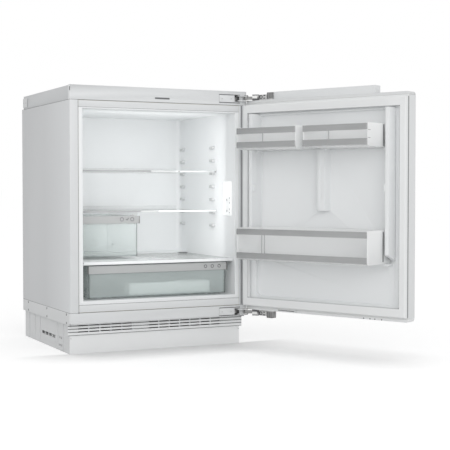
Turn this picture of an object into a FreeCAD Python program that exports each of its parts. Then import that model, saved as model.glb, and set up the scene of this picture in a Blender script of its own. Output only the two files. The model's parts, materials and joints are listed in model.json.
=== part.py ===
import FreeCAD, Part
import math
import os

os.makedirs("parts", exist_ok=True)

# Working coordinates in mm: X to the right along the front, Y to the back from the body's
# front plane, Z up from the floor. The files are moved so that the origin is the middle of
# the underside.

# body
body_width = 597.0
body_height = 820.0
body_depth = 515.5
base_height = 129.0
roof_drop = 44.7
sheet = 1.0
joint_gap = 0.5
flange_width = 27.0
top_rail_width = 21.3
bottom_rail_width = 23.5
half_width = body_width / 2
roof_height = body_height - roof_drop
top_rail_low = roof_height - top_rail_width
bottom_rail_high = base_height + bottom_rail_width

# cavity
side_foam = 40.5
back_foam = 75.5
roof_foam = 25.3
floor_foam = 35.0
liner_wall = 2.0
cavity_corner = 18.0
hump_depth = 56.0
hump_rise = 122.0
niche_depth = 100.5
niche_rise = 133.0
cavity_width = body_width - side_foam * 2
cavity_depth = body_depth - back_foam
ceiling_height = roof_height - roof_foam
floor_height = base_height + floor_foam
hump_front = cavity_depth - hump_depth
hump_height = floor_height + hump_rise
niche_front = body_depth - niche_depth
niche_height = base_height + niche_rise
half_cavity = cavity_width / 2

# shelf ribs on the side walls
rib_reach = 10.0
rib_thick = 9.0
rib_first_rise = 102.2
rib_room_above = 101.8
rib_steps = 6
front_rib_low = 150.0
front_rib_length = 26.0
rear_rib_gap = 20.0
rear_rib_length = 24.0
ledge_front = 20.0
ledge_gap = 14.0
ledge_rise = 113.0
ledge_thick = 8.0
shelf_ribs = (1, 4)
rib_top_first = hump_height + rib_first_rise
rib_pitch = (ceiling_height - rib_room_above - rib_top_first) / rib_steps
front_rib_high = front_rib_low + front_rib_length
rear_rib_high = cavity_depth - rear_rib_gap
rear_rib_low = rear_rib_high - rear_rib_length
ledge_back = hump_front - ledge_gap
ledge_top = floor_height + ledge_rise
lower_shelf_level = rib_top_first + rib_pitch * shelf_ribs[0]

# glass shelves
shelf_side_gap = 4.5
shelf_front = 132.0
shelf_back_gap = 19.0
glass_thick = 4.0
shelf_trim_low = 1.0
shelf_trim_high = 0.5
shelf_trim_depth = 9.0
rear_trim_inset = 18.5
rear_trim_height = 16.0
rear_trim_depth = 7.0
trim_wall = 1.2
shelf_width = cavity_width - shelf_side_gap * 2
shelf_back = cavity_depth - shelf_back_gap
rear_trim_width = shelf_width - rear_trim_inset * 2

# cover plate above the large drawer
plate_front = 8.0
plate_back_gap = 6.0
plate_trim_depth = 9.0
plate_trim_low = 4.0
plate_trim_high = 1.2
corner_cap_length = 30.0
corner_cap_width = 14.0
plate_back = hump_front - plate_back_gap

# large drawer
drawer_rim_over = 4.0
drawer_side_gap = 25.0
drawer_front = 21.0
drawer_back_gap = 12.0
runner_height = 6.0
runner_front = 60.0
drawer_top_gap = 8.0
drawer_wall = 2.6
drawer_corner = 8.0
rail_height = 24.0
rail_depth = 9.0
runner_width = 14.0
runner_inset = 48.0
step_left_gap = 138.0
step_right_gap = 46.0
step_front = 40.0
step_back_gap = 136.0
step_height = 41.0
drawer_box_width = cavity_width - drawer_side_gap * 2
drawer_width = drawer_box_width + drawer_rim_over * 2
drawer_back = hump_front - drawer_back_gap
drawer_low = floor_height + runner_height
drawer_high = ledge_top - drawer_top_gap
runner_offset = drawer_box_width / 2 - runner_inset
step_left = step_left_gap - drawer_box_width / 2
step_right = drawer_box_width / 2 - step_right_gap
step_back = drawer_back - step_back_gap

# half drawer under the lower shelf
half_side_gap = 19.0
half_drawer_width = 207.0
half_front = 126.0
half_back_gap = 36.0
half_floor_gap = 4.0
half_top_gap = 12.5
half_rail_over = 8.0
half_rim = 5.0
half_rim_thick = 3.0
hanger_thick = 2.0
hanger_lip = 4.6
hanger_front = 140.0
hanger_over = 4.0
slide_gap = 0.3
half_left = half_side_gap - half_cavity
half_right = half_left + half_drawer_width
half_back = cavity_depth - half_back_gap
half_low = hump_height + half_floor_gap
half_high = lower_shelf_level - half_top_gap
hanger_back = half_back + hanger_over

# control and light unit on the right wall
unit_front = 25.0
unit_back = 83.0
unit_below = 12.5
unit_height = 112.0
unit_depth = 3.0
unit_corner = 5.0
diffuser_inset = 5.0
diffuser_depth = 1.2
diffuser_top_gap = 7.0
diffuser_height = 40.0
button_half = 4.2
button_reach = 0.6
button_rises = (51.0, 15.0)
button_middle = 54.0
button_gap = 0.35
unit_low = lower_shelf_level - unit_below
unit_high = unit_low + unit_height
diffuser_high = unit_high - diffuser_top_gap
diffuser_low = diffuser_high - diffuser_height

# drain channel and spout at the back of the cavity
spout_radius = 7.0
spout_hole = 4.0
spout_rise = 26.0
spout_height = hump_height + spout_rise

# top cover and front panels
top_inset = 3.0
fascia_thick = 14.0
cover_wall = 1.5
cover_back_gap = 9.5
end_bracket_length = 44.0
end_bracket_reach = 2.4
end_bracket_rise = 5.7
end_bracket_drop = 8.0
mark_left = -21.0
mark_right = 28.0
mark_rise = 10.2
mark_height = 5.0
mark_thick = 0.8
lower_fascia_height = 33.0
grille_height = 38.5
grille_front = 30.0
grille_thick = 3.0
grille_inset = 1.5
plinth_front = 34.0
plinth_thick = 4.0
plinth_inset = 8.5
cover_back = body_depth - cover_back_gap
end_bracket_front = cover_back - end_bracket_length
end_bracket_low = roof_height + end_bracket_rise
end_bracket_high = body_height - end_bracket_drop
mark_low = roof_height + mark_rise
mark_high = mark_low + mark_height
lower_fascia_low = base_height - lower_fascia_height
grille_low = lower_fascia_low - grille_height
plinth_half = half_width - plinth_inset

# ventilation slots
slot_rows = 3
slot_row_pitch = 9.6
slot_height = 3.4
slot_first_drop = 30.0
slot_pitch = 36.0
groove_depth = 1.0
slot_gap = 3.0
slots_left = 5
slots_right = 7
slots_start_gap = 34.5
slots_start = slots_start_gap - half_width
slots_middle_gap = 53.0

# base
base_inset = 8.0
base_side_drop = 39.0
base_sheet = 2.0
base_strip_thick = 2.5
side_slot_shares = (0.3472, 0.6227)
side_slot_low = 33.0
side_slot_high = 43.0
side_slot_bars = 4
side_slot_bar = 6.0
side_rib_shares = (0.1785, 0.291, 0.6557, 0.7721, 0.8962)
side_rib_width = 12.0
side_rib_reach = 1.5
side_rib_low = 4.0
side_mark_shares = (0.2095, 0.2444)
side_mark_width = 10.0
side_mark_low = 14.0
side_mark_pitch = 24.0
side_mark_height = 7.0
rear_rail_high = 40.0
foot_radius = 17.0
foot_thick = 7.0
foot_gap = 0.5
stem_radius = 5.0
stem_top = 38.0
boss_half = 11.0
boss_top = 30.0
boss_low = 9.0
foot_side_gap = 53.5
foot_front = 95.0
foot_back_gap = 35.5
base_half = half_width - base_inset
base_side_high = base_height - base_side_drop
foot_x = half_width - foot_side_gap
foot_back = body_depth - foot_back_gap
slot_first = lower_fascia_low - slot_first_drop

# cooling parts
pot_radius = 46.0
pot_height = 118.0
pot_dome = 26.0
dome_shares = ((0.0, 0.8), (0.8, 0.0))
box_bite = 2.0
pot_setback = 51.0
pot_x = -40.0
pot_foot_length = 150.0
pot_foot_width = 60.0
pot_foot_thick = 2.0
mount_half = 9.0
mount_height = 16.0
tray_height = 26.0
tray_wall = 1.6
tray_half = 58.0
tray_front_gap = 5.0
tray_back_gap = 5.5
box_reach = 24.0
box_half = 19.0
box_low = 46.0
box_high = 96.0
inlet_half = 12.0
inlet_reach = 12.0
inlet_height = 15.0
inlet_mouth_half = 8.5
inlet_mouth_height = 4.6
inlet_depth = 9.0
inlet_x = 70.0
inlet_low = 50.0
pipe_radius = 3.2
pipe_offset = 30.0
pipe_bend = 14.0
pipe_rise = 46.0
bend_steps = 2
tube_sides = 6
coil_radius = 2.6
coil_low = 44.0
coil_front = 110.0
coil_back_gap = 85.0
coil_pitch = 36.0
coil_turns = 9
coil_left = -150.0
coil_bar_width = 10.0
coil_bar_thick = 2.0
pot_y = niche_front + pot_setback
tray_front = niche_front + tray_front_gap
pipe_wall = base_height + pipe_rise
tray_back = body_depth - tray_back_gap
coil_back = niche_front - coil_back_gap

# door, in door lengths: s along the door from the hinge edge, d inwards from the seal's face
open_angle = 115.0
closed_gap = 1.0
shell_near = -19.0
shell_far = -58.0
door_below = 4.3
door_above = 5.2
cap_height = 10.0
cap_corner = 8.0
skin = 1.0
hinge_pin_s = 6.34
hinge_pin_d = -10.24
door_width = body_width
seal_low = base_height
seal_high = roof_height
door_low = seal_low - door_below
door_high = seal_high + door_above

# seal
seal_width = 22.0
seal_width_ends = 26.0
seal_depth = 13.0
seal_round = 4.0
seal_foot = 8.0

# door liner
field_d = -27.0
field_rise = 31.0
field_drop = 33.3
field_edge = 40.0
field_corner = 24.0
dyke_outer = 43.0
dyke_inner = 55.0
dyke_base = 57.5
dyke_crest = 22.0
dyke_rise = 7.0
dyke_drop = 31.3
dyke_slope = 20.0
centre_rib_shift = 1.5
centre_rib_half = 21.0
rib_side = 6.0
rib_crest = -5.0
rib_bottom_rise = 153.0
rib_slot_shares = (0.16, 0.58)
rib_slot_height = 22.0
rib_slot_width = 4.0
rib_slot_depth = 1.2
rack_ledge_length = 7.0
rack_ledge_thick = 6.0
rack_ledge_far = 5.0

# door racks
rack_left = 59.0
rack_free_gap = 64.0
rack_gap_left = 18.0
rack_gap_right = 8.5
rack_back = -24.5
rack_front = 104.6
bar_thick = 4.0
bar_height = 18.0
rack_wall = 2.4
upper_rack_drop = 147.3
lower_rack_rise = 156.0
upper_bar_rises = (5.0, 48.0)
lower_bar_rises = (5.0, 79.0)
rack_round = 12.0
bar_cap = 1.5
rack_top_over = 3.0
rack_right = door_width - rack_free_gap
rib_middle_s = door_width / 2 + centre_rib_shift
rib_left_s = rib_middle_s - centre_rib_half
rib_right_s = rib_middle_s + centre_rib_half
half_left_end = rib_middle_s - rack_gap_left
half_right_start = rib_middle_s + rack_gap_right
upper_rack_low = seal_high - upper_rack_drop
lower_rack_low = seal_low + lower_rack_rise
field_low = seal_low + field_rise
field_high = seal_high - field_drop
dyke_low = lower_rack_low + dyke_rise
dyke_high = seal_high - dyke_drop
dyke_free_inner = door_width - dyke_inner
dyke_free_outer = door_width - dyke_outer
rib_bottom = lower_rack_low + rib_bottom_rise

# mounting rail on top of the door
rail_free_gap = 120.0
rail_near_d = -28.0
rail_rise = 24.5
rail_wall = 2.0

# hinges
plate_inset = 23.5
plate_length = 74.0
plate_down = 7.5
plate_up = 17.5
plate_proud = 0.6
mouth_inset = 25.5
mouth_length = 17.0
mouth_down = 3.5
mouth_up = 16.5
housing_depth = 36.0
housing_wall = 1.5
arm_thick = 2.5
arm_near = -2.5
link_near = 3.0
link_far = 12.5
arm_clear = 0.3
arm_half = 5.5
arm_root_inset = 33.5
arm_root_y = 16.0
arm_elbow_inset = 31.5
arm_elbow_y = -8.5
knuckle_radius = 8.0
pin_radius = 3.0
pin_head_radius = 5.0
pin_head = 1.6
pin_clear = 0.05
link_pin_s = 42.0
link_pin_d = -30.0
link_half = 5.0
link_round = 8.0
bracket_left_s = 31.0
bracket_length = 72.0
bracket_near_d = -22.0
bracket_far_d = -44.0
bracket_thick = 2.5
bracket_block_length = 13.0
bracket_block_height = 17.0
plate_right_x = half_width - plate_inset
plate_left_x = plate_right_x - plate_length
mouth_right_x = half_width - mouth_inset
mouth_left_x = mouth_right_x - mouth_length
arm_root_x = half_width - arm_root_inset
arm_elbow_x = half_width - arm_elbow_inset
bracket_right_s = bracket_left_s + bracket_length
bracket_block_s = bracket_right_s - bracket_block_length
rail_left_s = bracket_right_s
rail_right_s = door_width - rail_free_gap
rail_top = door_high + cap_height + rail_rise

# screws
screw_head_radius = 4.0
screw_head_thick = 1.4
bracket_screw_s = (58.0, 74.0)

half_turn = 180.0
straight_share = 0.999
sixths = [number * math.pi / 3 for number in range(6)]
shift = FreeCAD.Vector(0, -body_depth / 2, 0)


def vec(x, y, z):
    return FreeCAD.Vector(x, y, z)


def block(x0, x1, y0, y1, z0, z1):
    """A box from its low and high sides."""
    return Part.makeBox(x1 - x0, y1 - y0, z1 - z0, vec(x0, y0, z0))


def edges_along(shape, axis):
    """The straight edges of a shape that run along an axis."""
    found = []
    for edge in shape.Edges:
        if len(edge.Vertexes) < 2:
            continue
        run = edge.Vertexes[-1].Point.sub(edge.Vertexes[0].Point)
        if run.Length and abs(run.dot(axis)) / run.Length > straight_share:
            found.append(edge)
    return found


def rounded(x0, x1, y0, y1, z0, z1, radius, axis):
    """A box with the four edges along an axis rounded."""
    shape = block(x0, x1, y0, y1, z0, z1)
    return shape.makeFillet(radius, edges_along(shape, axis))


def prism(points, low, high):
    """A solid between two heights over an outline in the XY plane."""
    wire = Part.makePolygon([vec(x, y, low) for x, y in points + points[:1]])
    return Part.Face(wire).extrude(vec(0, 0, high - low))


def disc(x, y, low, high, radius):
    """An upright cylinder between two heights."""
    return Part.makeCylinder(radius, high - low, vec(x, y, low))


def hexagon(x, y, low, high, radius):
    """An upright six-sided prism between two heights."""
    return prism([(x + radius * math.cos(turn), y + radius * math.sin(turn)) for turn in sixths], low, high)


def joined(shapes):
    """One solid out of touching shapes."""
    whole = shapes[0].fuse(shapes[1:])
    return whole.removeSplitter()


x_axis = vec(1, 0, 0)
y_axis = vec(0, 1, 0)
z_axis = vec(0, 0, 1)

nodes = {}


# body sheets
def make_casing():
    """Side sheets with their front flanges, roof and floor sheets, and the machine niche."""
    parts = []
    for side in (-1, 1):
        outer = side * half_width
        inner = side * (half_width - sheet)
        flange = side * (half_width - flange_width)
        parts.append(block(min(outer, inner), max(outer, inner), 0, body_depth, base_height, roof_height))
        parts.append(block(min(outer, flange), max(outer, flange), 0, sheet, base_height, roof_height))
    inside = half_width - sheet / 2
    parts.append(block(-inside, inside, sheet, body_depth, roof_height - sheet, roof_height))
    parts.append(block(-inside, inside, sheet, niche_front, base_height, base_height + sheet))
    parts.append(block(-inside, inside, niche_front, niche_front + sheet, base_height, niche_height))
    parts.append(block(-inside, inside, niche_front, body_depth, niche_height - sheet, niche_height))
    nodes["casing"] = joined(parts)


def make_rear_panel():
    """The back sheet above the machine niche."""
    edge = half_width - sheet - joint_gap
    low = niche_height + joint_gap
    high = roof_height - sheet - joint_gap
    nodes["rear_panel"] = block(-edge, edge, body_depth - sheet, body_depth, low, high)


def make_frame_rails():
    """The cross rails above and below the opening."""
    edge = half_width - flange_width - joint_gap
    top = block(-edge, edge, 0, sheet, top_rail_low, roof_height - sheet - joint_gap)
    low = block(-edge, edge, 0, sheet, base_height + sheet + joint_gap, bottom_rail_high)
    nodes["frame_rails"] = Part.makeCompound([top, low])


# cavity
def tub(wall):
    """The cavity's shape, grown by a wall, filled, from the front plane back."""
    side = half_cavity + wall
    main = rounded(-side, side, -cavity_corner - wall, cavity_depth + wall,
                   floor_height - wall, ceiling_height + wall, cavity_corner + wall, z_axis)
    front = block(-half_width, half_width, -body_depth, 0, 0, body_height)
    hump = block(-half_width, half_width, hump_front + wall, body_depth,
                 0, hump_height - wall)
    return main.cut(front).cut(hump)


def make_liner():
    """Cavity shell with its front flange and drain hole."""
    edge = half_width - flange_width - joint_gap
    flange = block(-edge, edge, 0, liner_wall, bottom_rail_high + joint_gap, top_rail_low - joint_gap)
    filled = tub(liner_wall).fuse(flange)
    drain = Part.makeCylinder(spout_hole, body_depth, vec(0, hump_front, spout_height), y_axis)
    nodes["liner"] = filled.cut(tub(0)).cut(drain)
    return filled


def make_ribs():
    """Shelf ribs and cover plate ledges on the cavity's side walls."""
    ribs = []
    for side in (-1, 1):
        wall = side * half_cavity
        reach = side * (half_cavity - rib_reach)
        low_x, high_x = min(wall, reach), max(wall, reach)
        for number in range(rib_steps + 1):
            top = rib_top_first + number * rib_pitch
            for front, back in ((front_rib_low, front_rib_high), (rear_rib_low, rear_rib_high)):
                ribs.append(block(low_x, high_x, front, back, top - rib_thick, top))
        ribs.append(block(low_x, high_x, ledge_front, ledge_back, ledge_top - ledge_thick, ledge_top))
    nodes["shelf_ribs"] = Part.makeCompound(ribs)


def make_insulation(filled):
    """Foam between the outer sheets and the cavity."""
    edge = half_width - sheet
    foam = block(-edge, edge, sheet, body_depth - sheet, base_height + sheet, roof_height - sheet)
    niche = block(-half_width, half_width, niche_front, body_depth, 0, niche_height)
    drain = Part.makeCylinder(spout_radius, body_depth, vec(0, hump_front, spout_height), y_axis)
    nodes["insulation"] = foam.cut(filled).cut(niche).cut(drain)


def make_drain():
    """Water spout through the back wall."""
    start = cavity_depth + liner_wall
    outer = Part.makeCylinder(spout_radius, body_depth - start, vec(0, start, spout_height), y_axis)
    bore = Part.makeCylinder(spout_hole, body_depth, vec(0, hump_front, spout_height), y_axis)
    panel = nodes["rear_panel"]
    hole = Part.makeCylinder(spout_radius, body_depth, vec(0, hump_front, spout_height), y_axis)
    nodes["rear_panel"] = panel.cut(hole)
    nodes["drain_pipe"] = outer.cut(bore)


# shelves
def make_shelf(name, rib):
    """A glass plate that lies on the ribs, with a front trim and a raised rear trim."""
    low = rib_top_first + rib * rib_pitch
    high = low + glass_thick
    side = shelf_width / 2
    nodes[name + "_glass"] = block(-side, side, shelf_front, shelf_back, low, high)
    front_y = shelf_front - trim_wall
    front = block(-side, side, front_y, front_y + shelf_trim_depth, low - shelf_trim_low, high + shelf_trim_high)
    front = front.cut(nodes[name + "_glass"])
    rear_side = rear_trim_width / 2
    rear_y = shelf_back - rear_trim_depth + trim_wall
    rear = block(-rear_side, rear_side, rear_y, shelf_back + trim_wall, low - trim_wall, low + rear_trim_height)
    room = block(-half_width, half_width, rear_y, shelf_back - trim_wall, high + trim_wall, body_height)
    rear = rear.cut(nodes[name + "_glass"]).cut(room)
    nodes[name + "_trims"] = Part.makeCompound([front, rear])


def make_cover_plate():
    """The glass plate over the large drawer, with its front trim and rear corner caps."""
    side = shelf_width / 2
    high = ledge_top + glass_thick
    glass = block(-side, side, plate_front, plate_back, ledge_top, high)
    nodes["cover_plate_glass"] = glass
    front_y = plate_front - trim_wall
    trim = block(-side, side, front_y, front_y + plate_trim_depth, ledge_top - plate_trim_low, high + plate_trim_high)
    nodes["cover_plate_trim"] = trim.cut(glass)
    caps = []
    for side_sign in (-1, 1):
        outer = side_sign * side
        inner = side_sign * (side - corner_cap_length)
        caps.append(block(min(outer, inner), max(outer, inner), plate_back - corner_cap_width,
                          plate_back + trim_wall, high, high + trim_wall))
    nodes["cover_plate_caps"] = Part.makeCompound(caps)


# drawers
def open_box(x0, x1, y0, y1, z0, z1, wall, corner):
    """A box open at the top with rounded upright corners."""
    outer = rounded(x0, x1, y0, y1, z0, z1, corner, z_axis)
    inner = rounded(x0 + wall, x1 - wall, y0 + wall, y1 - wall, z0 + wall, z1 + wall, corner - wall, z_axis)
    return outer, inner


def make_drawer():
    """The large drawer: clear box with a raised floor step, and the grey front rail."""
    side = drawer_box_width / 2
    outer, inner = open_box(-side, side, drawer_front, drawer_back, drawer_low, drawer_high,
                            drawer_wall, drawer_corner)
    step = block(step_left, step_right, step_front, step_back,
                 drawer_low - drawer_wall, drawer_low + step_height)
    hollow = block(step_left + drawer_wall, step_right - drawer_wall,
                   step_front + drawer_wall, step_back - drawer_wall,
                   drawer_low - drawer_wall, drawer_low + step_height - drawer_wall)
    box = outer.cut(inner.cut(step)).cut(hollow)
    rim_side = drawer_width / 2
    rim_low = drawer_high - half_rim_thick
    rim = block(-rim_side, rim_side, drawer_front + drawer_wall, drawer_back, rim_low, drawer_high)
    rim_hole = block(-side + drawer_wall / 2, side - drawer_wall / 2, drawer_front, drawer_back - drawer_wall / 2,
                     rim_low, drawer_high)
    nodes["drawer_box"] = box.fuse(rim.cut(rim_hole)).removeSplitter()
    rail_low = drawer_high - rail_height
    front = drawer_front - rail_depth / 2
    rail = block(-rim_side, rim_side, front, front + rail_depth, rail_low, drawer_high)
    rail = rail.cut(outer)
    rail = rail.cut(rim.cut(rim_hole))
    nodes["drawer_rail"] = rail.cut(inner)


def make_runners():
    """Two strips on the cavity floor that the large drawer slides on."""
    strips = []
    for side in (-1, 1):
        middle = side * runner_offset
        strips.append(block(middle - runner_width / 2, middle + runner_width / 2,
                            runner_front, ledge_back, floor_height, drawer_low))
    nodes["drawer_runners"] = Part.makeCompound(strips)


def make_half_drawer():
    """The half-width drawer: clear box with side rims that ride in the hanger rails."""
    outer, inner = open_box(half_left, half_right, half_front, half_back, half_low, half_high,
                            drawer_wall, drawer_corner)
    rim_low = half_high - half_rim_thick
    rim = block(half_left - half_rim, half_right + half_rim, half_front + rail_depth, half_back, rim_low, half_high)
    rim_hole = block(half_left + drawer_wall / 2, half_right - drawer_wall / 2, half_front,
                     half_back - drawer_wall / 2, rim_low, half_high)
    nodes["half_drawer_box"] = outer.cut(inner).fuse(rim.cut(rim_hole)).removeSplitter()
    front = half_front - rail_depth / 2
    rail = block(half_left - half_rail_over, half_right + half_rail_over, front, front + rail_depth,
                 half_high - rail_height, half_high)
    nodes["half_drawer_rail"] = rail.cut(outer)


def make_hangers():
    """L rails under the lower shelf that carry the half drawer."""
    top = rib_top_first + shelf_ribs[0] * rib_pitch
    rails = []
    for side, rim in ((-1, half_left - half_rim), (1, half_right + half_rim)):
        inner = rim + side * slide_gap
        outer = inner + side * hanger_thick
        low = half_high - half_rim_thick - slide_gap - hanger_thick
        web = block(min(inner, outer), max(inner, outer), hanger_front, hanger_back, low, top)
        tip = inner - side * (hanger_lip - slide_gap)
        lip = block(min(tip, outer), max(tip, outer), hanger_front, hanger_back, low, low + hanger_thick)
        rails.append(joined([web, lip]))
    nodes["half_drawer_hangers"] = Part.makeCompound(rails)


# control and light unit
def make_control_unit():
    """Housing on the right wall with a light cover and two square buttons."""
    face = half_cavity - unit_depth
    body = rounded(face, half_cavity, unit_front, unit_back, unit_low, unit_high, unit_corner, x_axis)
    cover = block(face, face + diffuser_depth, unit_front + diffuser_inset, unit_back - diffuser_inset,
                  diffuser_low, diffuser_high)
    body = body.cut(cover)
    buttons = []
    for rise in button_rises:
        height = unit_low + rise
        half = button_half + button_gap
        body = body.cut(block(face, face + diffuser_depth, button_middle - half, button_middle + half,
                              height - half, height + half))
        buttons.append(block(face - button_reach, face + diffuser_depth, button_middle - button_half,
                             button_middle + button_half, height - button_half, height + button_half))
    nodes["control_housing"] = body
    nodes["light_cover"] = cover
    nodes["control_buttons"] = Part.makeCompound(buttons)


# hinge heights: the upper and the lower hinge mirror each other about the door's middle
def hinge_level(side, offset):
    """Height of a point measured outwards from the door cap, for the upper or lower hinge."""
    if side > 0:
        return door_high + cap_height + offset
    return door_low - cap_height - offset


def hinge_span(side, near, far):
    """Low and high heights of a layer of a hinge."""
    ends = (hinge_level(side, near), hinge_level(side, far))
    return min(ends), max(ends)


# top
def hinge_pocket(side):
    """The room that a hinge housing takes in a front panel."""
    low, high = hinge_span(side, -plate_down, plate_up)
    return block(plate_left_x, plate_right_x, -plate_proud, housing_depth, low, high)


def make_top():
    """Front panel above the door opening, and the cover behind it."""
    fascia = block(-half_width, half_width, 0, fascia_thick, roof_height, body_height)
    mark = block(mark_left, mark_right, 0, mark_thick, mark_low, mark_high)
    nodes["top_fascia"] = fascia.cut(hinge_pocket(1)).cut(mark)
    nodes["fascia_mark"] = mark
    side = half_width - top_inset
    cover = block(-side, side, fascia_thick, cover_back, roof_height, body_height)
    room = block(-side + cover_wall, side - cover_wall, fascia_thick, cover_back - cover_wall,
                 roof_height, body_height - cover_wall)
    nodes["top_cover"] = cover.cut(room)
    brackets = []
    for sign in (-1, 1):
        inner = sign * side
        outer = sign * (side + end_bracket_reach)
        brackets.append(block(min(inner, outer), max(inner, outer), end_bracket_front, cover_back,
                              end_bracket_low, end_bracket_high))
    nodes["top_end_brackets"] = Part.makeCompound(brackets)


# base
def make_lower_fascia():
    """Front panel under the opening, with the lower hinge's pocket."""
    edge = half_width - joint_gap
    panel = block(-half_width, half_width, 0, fascia_thick, lower_fascia_low, base_height)
    web = block(-edge, edge, fascia_thick, grille_front + grille_thick, lower_fascia_low,
                lower_fascia_low + base_sheet)
    nodes["lower_fascia"] = joined([panel, web]).cut(hinge_pocket(-1))


def make_grille():
    """Louvred ventilation panel: rows of slots between short uprights, with grooves past their ends."""
    panel = block(-half_width + grille_inset, half_width - grille_inset, grille_front,
                  grille_front + grille_thick, grille_low, lower_fascia_low)
    slots = []
    starts = [slots_start + number * slot_pitch for number in range(slots_left)]
    second = slots_start + slots_left * slot_pitch + slots_middle_gap
    starts += [second + number * slot_pitch for number in range(slots_right)]
    for row in range(slot_rows):
        low = slot_first + row * slot_row_pitch
        slots.append(block(-half_width, half_width, grille_front, grille_front + groove_depth,
                           low, low + slot_height))
        for start in starts:
            slots.append(block(start, start + slot_pitch - slot_gap, grille_front,
                               grille_front + grille_thick, low, low + slot_height))
    shelf = block(-plinth_half, plinth_half, grille_front, plinth_front + plinth_thick,
                  grille_low, grille_low + base_sheet)
    nodes["vent_grille"] = joined([panel.cut(slots), shelf])


def make_plinth():
    """Plinth panel set back under the grille."""
    nodes["plinth_panel"] = block(-plinth_half, plinth_half, plinth_front,
                                  plinth_front + plinth_thick, 0, grille_low)


def foot_places():
    """Middles of the four levelling feet."""
    return [(x, y) for x in (-foot_x, foot_x) for y in (foot_front, foot_back)]


def make_base():
    """Base tray with side plates and foot bosses, and the side strips under the casing."""
    front = plinth_front + plinth_thick
    parts = [block(-base_half, base_half, front, body_depth, 0, base_sheet)]
    parts.append(block(-base_half, base_half, body_depth - base_sheet, body_depth, 0, rear_rail_high))
    for side in (-1, 1):
        outer = side * base_half
        inner = side * (base_half - base_sheet)
        plate = block(min(outer, inner), max(outer, inner), front, body_depth, 0, base_side_high)
        cuts = []
        side_slot_front, side_slot_back = [share * body_depth for share in side_slot_shares]
        span = (side_slot_back - side_slot_front + side_slot_bar) / side_slot_bars
        for number in range(side_slot_bars):
            start = side_slot_front + number * span
            cuts.append(block(-half_width, half_width, start, start + span - side_slot_bar,
                              side_slot_low, side_slot_high))
        for share in side_mark_shares:
            place = share * body_depth
            for low in (side_mark_low, side_mark_low + side_mark_pitch):
                cuts.append(block(-half_width, half_width, place, place + side_mark_width,
                                  low, low + side_mark_height))
        parts.append(plate.cut(Part.makeCompound(cuts)))
        reach = side * (base_half + side_rib_reach)
        for share in side_rib_shares:
            place = share * body_depth
            parts.append(block(min(outer, reach), max(outer, reach), place, place + side_rib_width,
                               side_rib_low, base_side_high))
    tray = joined(parts)
    for x, y in foot_places():
        pocket = foot_radius + foot_gap
        reach = pocket + base_sheet
        boss = block(x - boss_half, x + boss_half, y - boss_half, y + boss_half, boss_low, boss_top)
        tower = block(x - reach, x + reach, y - reach, y + reach, 0, boss_low)
        tray = tray.fuse([boss, tower])
        tray = tray.cut(block(x - pocket, x + pocket, y - pocket, y + pocket, 0, foot_thick + foot_gap))
        tray = tray.cut(disc(x, y, 0, boss_top, stem_radius + pin_clear))
    nodes["base_tray"] = tray.removeSplitter()
    strips = []
    for side in (-1, 1):
        outer = side * half_width
        inner = side * (half_width - base_strip_thick)
        strip = block(min(outer, inner), max(outer, inner), fascia_thick, body_depth, base_side_high, base_height)
        foot = side * (base_half - base_sheet)
        step = block(min(outer, foot), max(outer, foot), fascia_thick, body_depth,
                     base_side_high, base_side_high + base_sheet)
        strips.append(joined([strip, step]).cut(nodes["lower_fascia"]).cut(nodes["vent_grille"]))
    nodes["base_strips"] = Part.makeCompound(strips)


def make_feet():
    """Four levelling feet: a six-sided pad with an upright stem."""
    feet = []
    for x, y in foot_places():
        feet.append(joined([hexagon(x, y, 0, foot_thick, foot_radius), disc(x, y, 0, stem_top, stem_radius)]))
    nodes["feet"] = Part.makeCompound(feet)


def make_compressor():
    """The welded pot, its foot plate on rubber mounts, and the water tray on its roof."""
    low = base_sheet + mount_height
    plate = block(pot_x - pot_foot_length / 2, pot_x + pot_foot_length / 2, pot_y - pot_foot_width / 2,
                  pot_y + pot_foot_width / 2, low, low + pot_foot_thick)
    top = low + pot_height
    outline = [(0, low + pot_foot_thick), (pot_radius, low + pot_foot_thick)]
    for inward, down in dome_shares:
        outline.append((pot_radius - pot_dome * inward, top - pot_dome * down))
    outline.append((0, top))
    wire = Part.makePolygon([vec(pot_x + r, pot_y, z) for r, z in outline + outline[:1]])
    pot = Part.Face(wire).revolve(vec(pot_x, pot_y, 0), z_axis, half_turn * 2)
    nodes["compressor"] = joined([plate, pot])
    mounts = []
    for sign_x in (-1, 1):
        for sign_y in (-1, 1):
            x = pot_x + sign_x * (pot_foot_length / 2 - mount_half)
            y = pot_y + sign_y * (pot_foot_width / 2 - mount_half)
            mounts.append(block(x - mount_half, x + mount_half, y - mount_half, y + mount_half,
                                base_sheet, low))
    nodes["compressor_mounts"] = Part.makeCompound(mounts)
    outer = block(pot_x - tray_half, pot_x + tray_half, tray_front, tray_back, top, top + tray_height)
    inner = block(pot_x - tray_half + tray_wall, pot_x + tray_half - tray_wall, tray_front + tray_wall,
                  tray_back - tray_wall, top + tray_wall, top + tray_height)
    nodes["water_tray"] = outer.cut(inner)
    side = pot_x + pot_radius
    box = block(side - box_bite, side + box_reach, pot_y - box_half, pot_y + box_half, box_low, box_high)
    nodes["terminal_box"] = box.cut(nodes["compressor"])


def make_inlet():
    """Mains inlet in a holder that stands on the base tray's rear edge."""
    front = body_depth - base_sheet - inlet_reach
    body = block(inlet_x - inlet_half, inlet_x + inlet_half, front, body_depth - base_sheet,
                 base_sheet, inlet_low + inlet_height)
    mouth = block(inlet_x - inlet_mouth_half, inlet_x + inlet_mouth_half, body_depth - base_sheet - inlet_depth,
                  body_depth, inlet_low, inlet_low + inlet_mouth_height + inlet_mouth_height)
    nodes["mains_inlet"] = body.cut(mouth)


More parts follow.
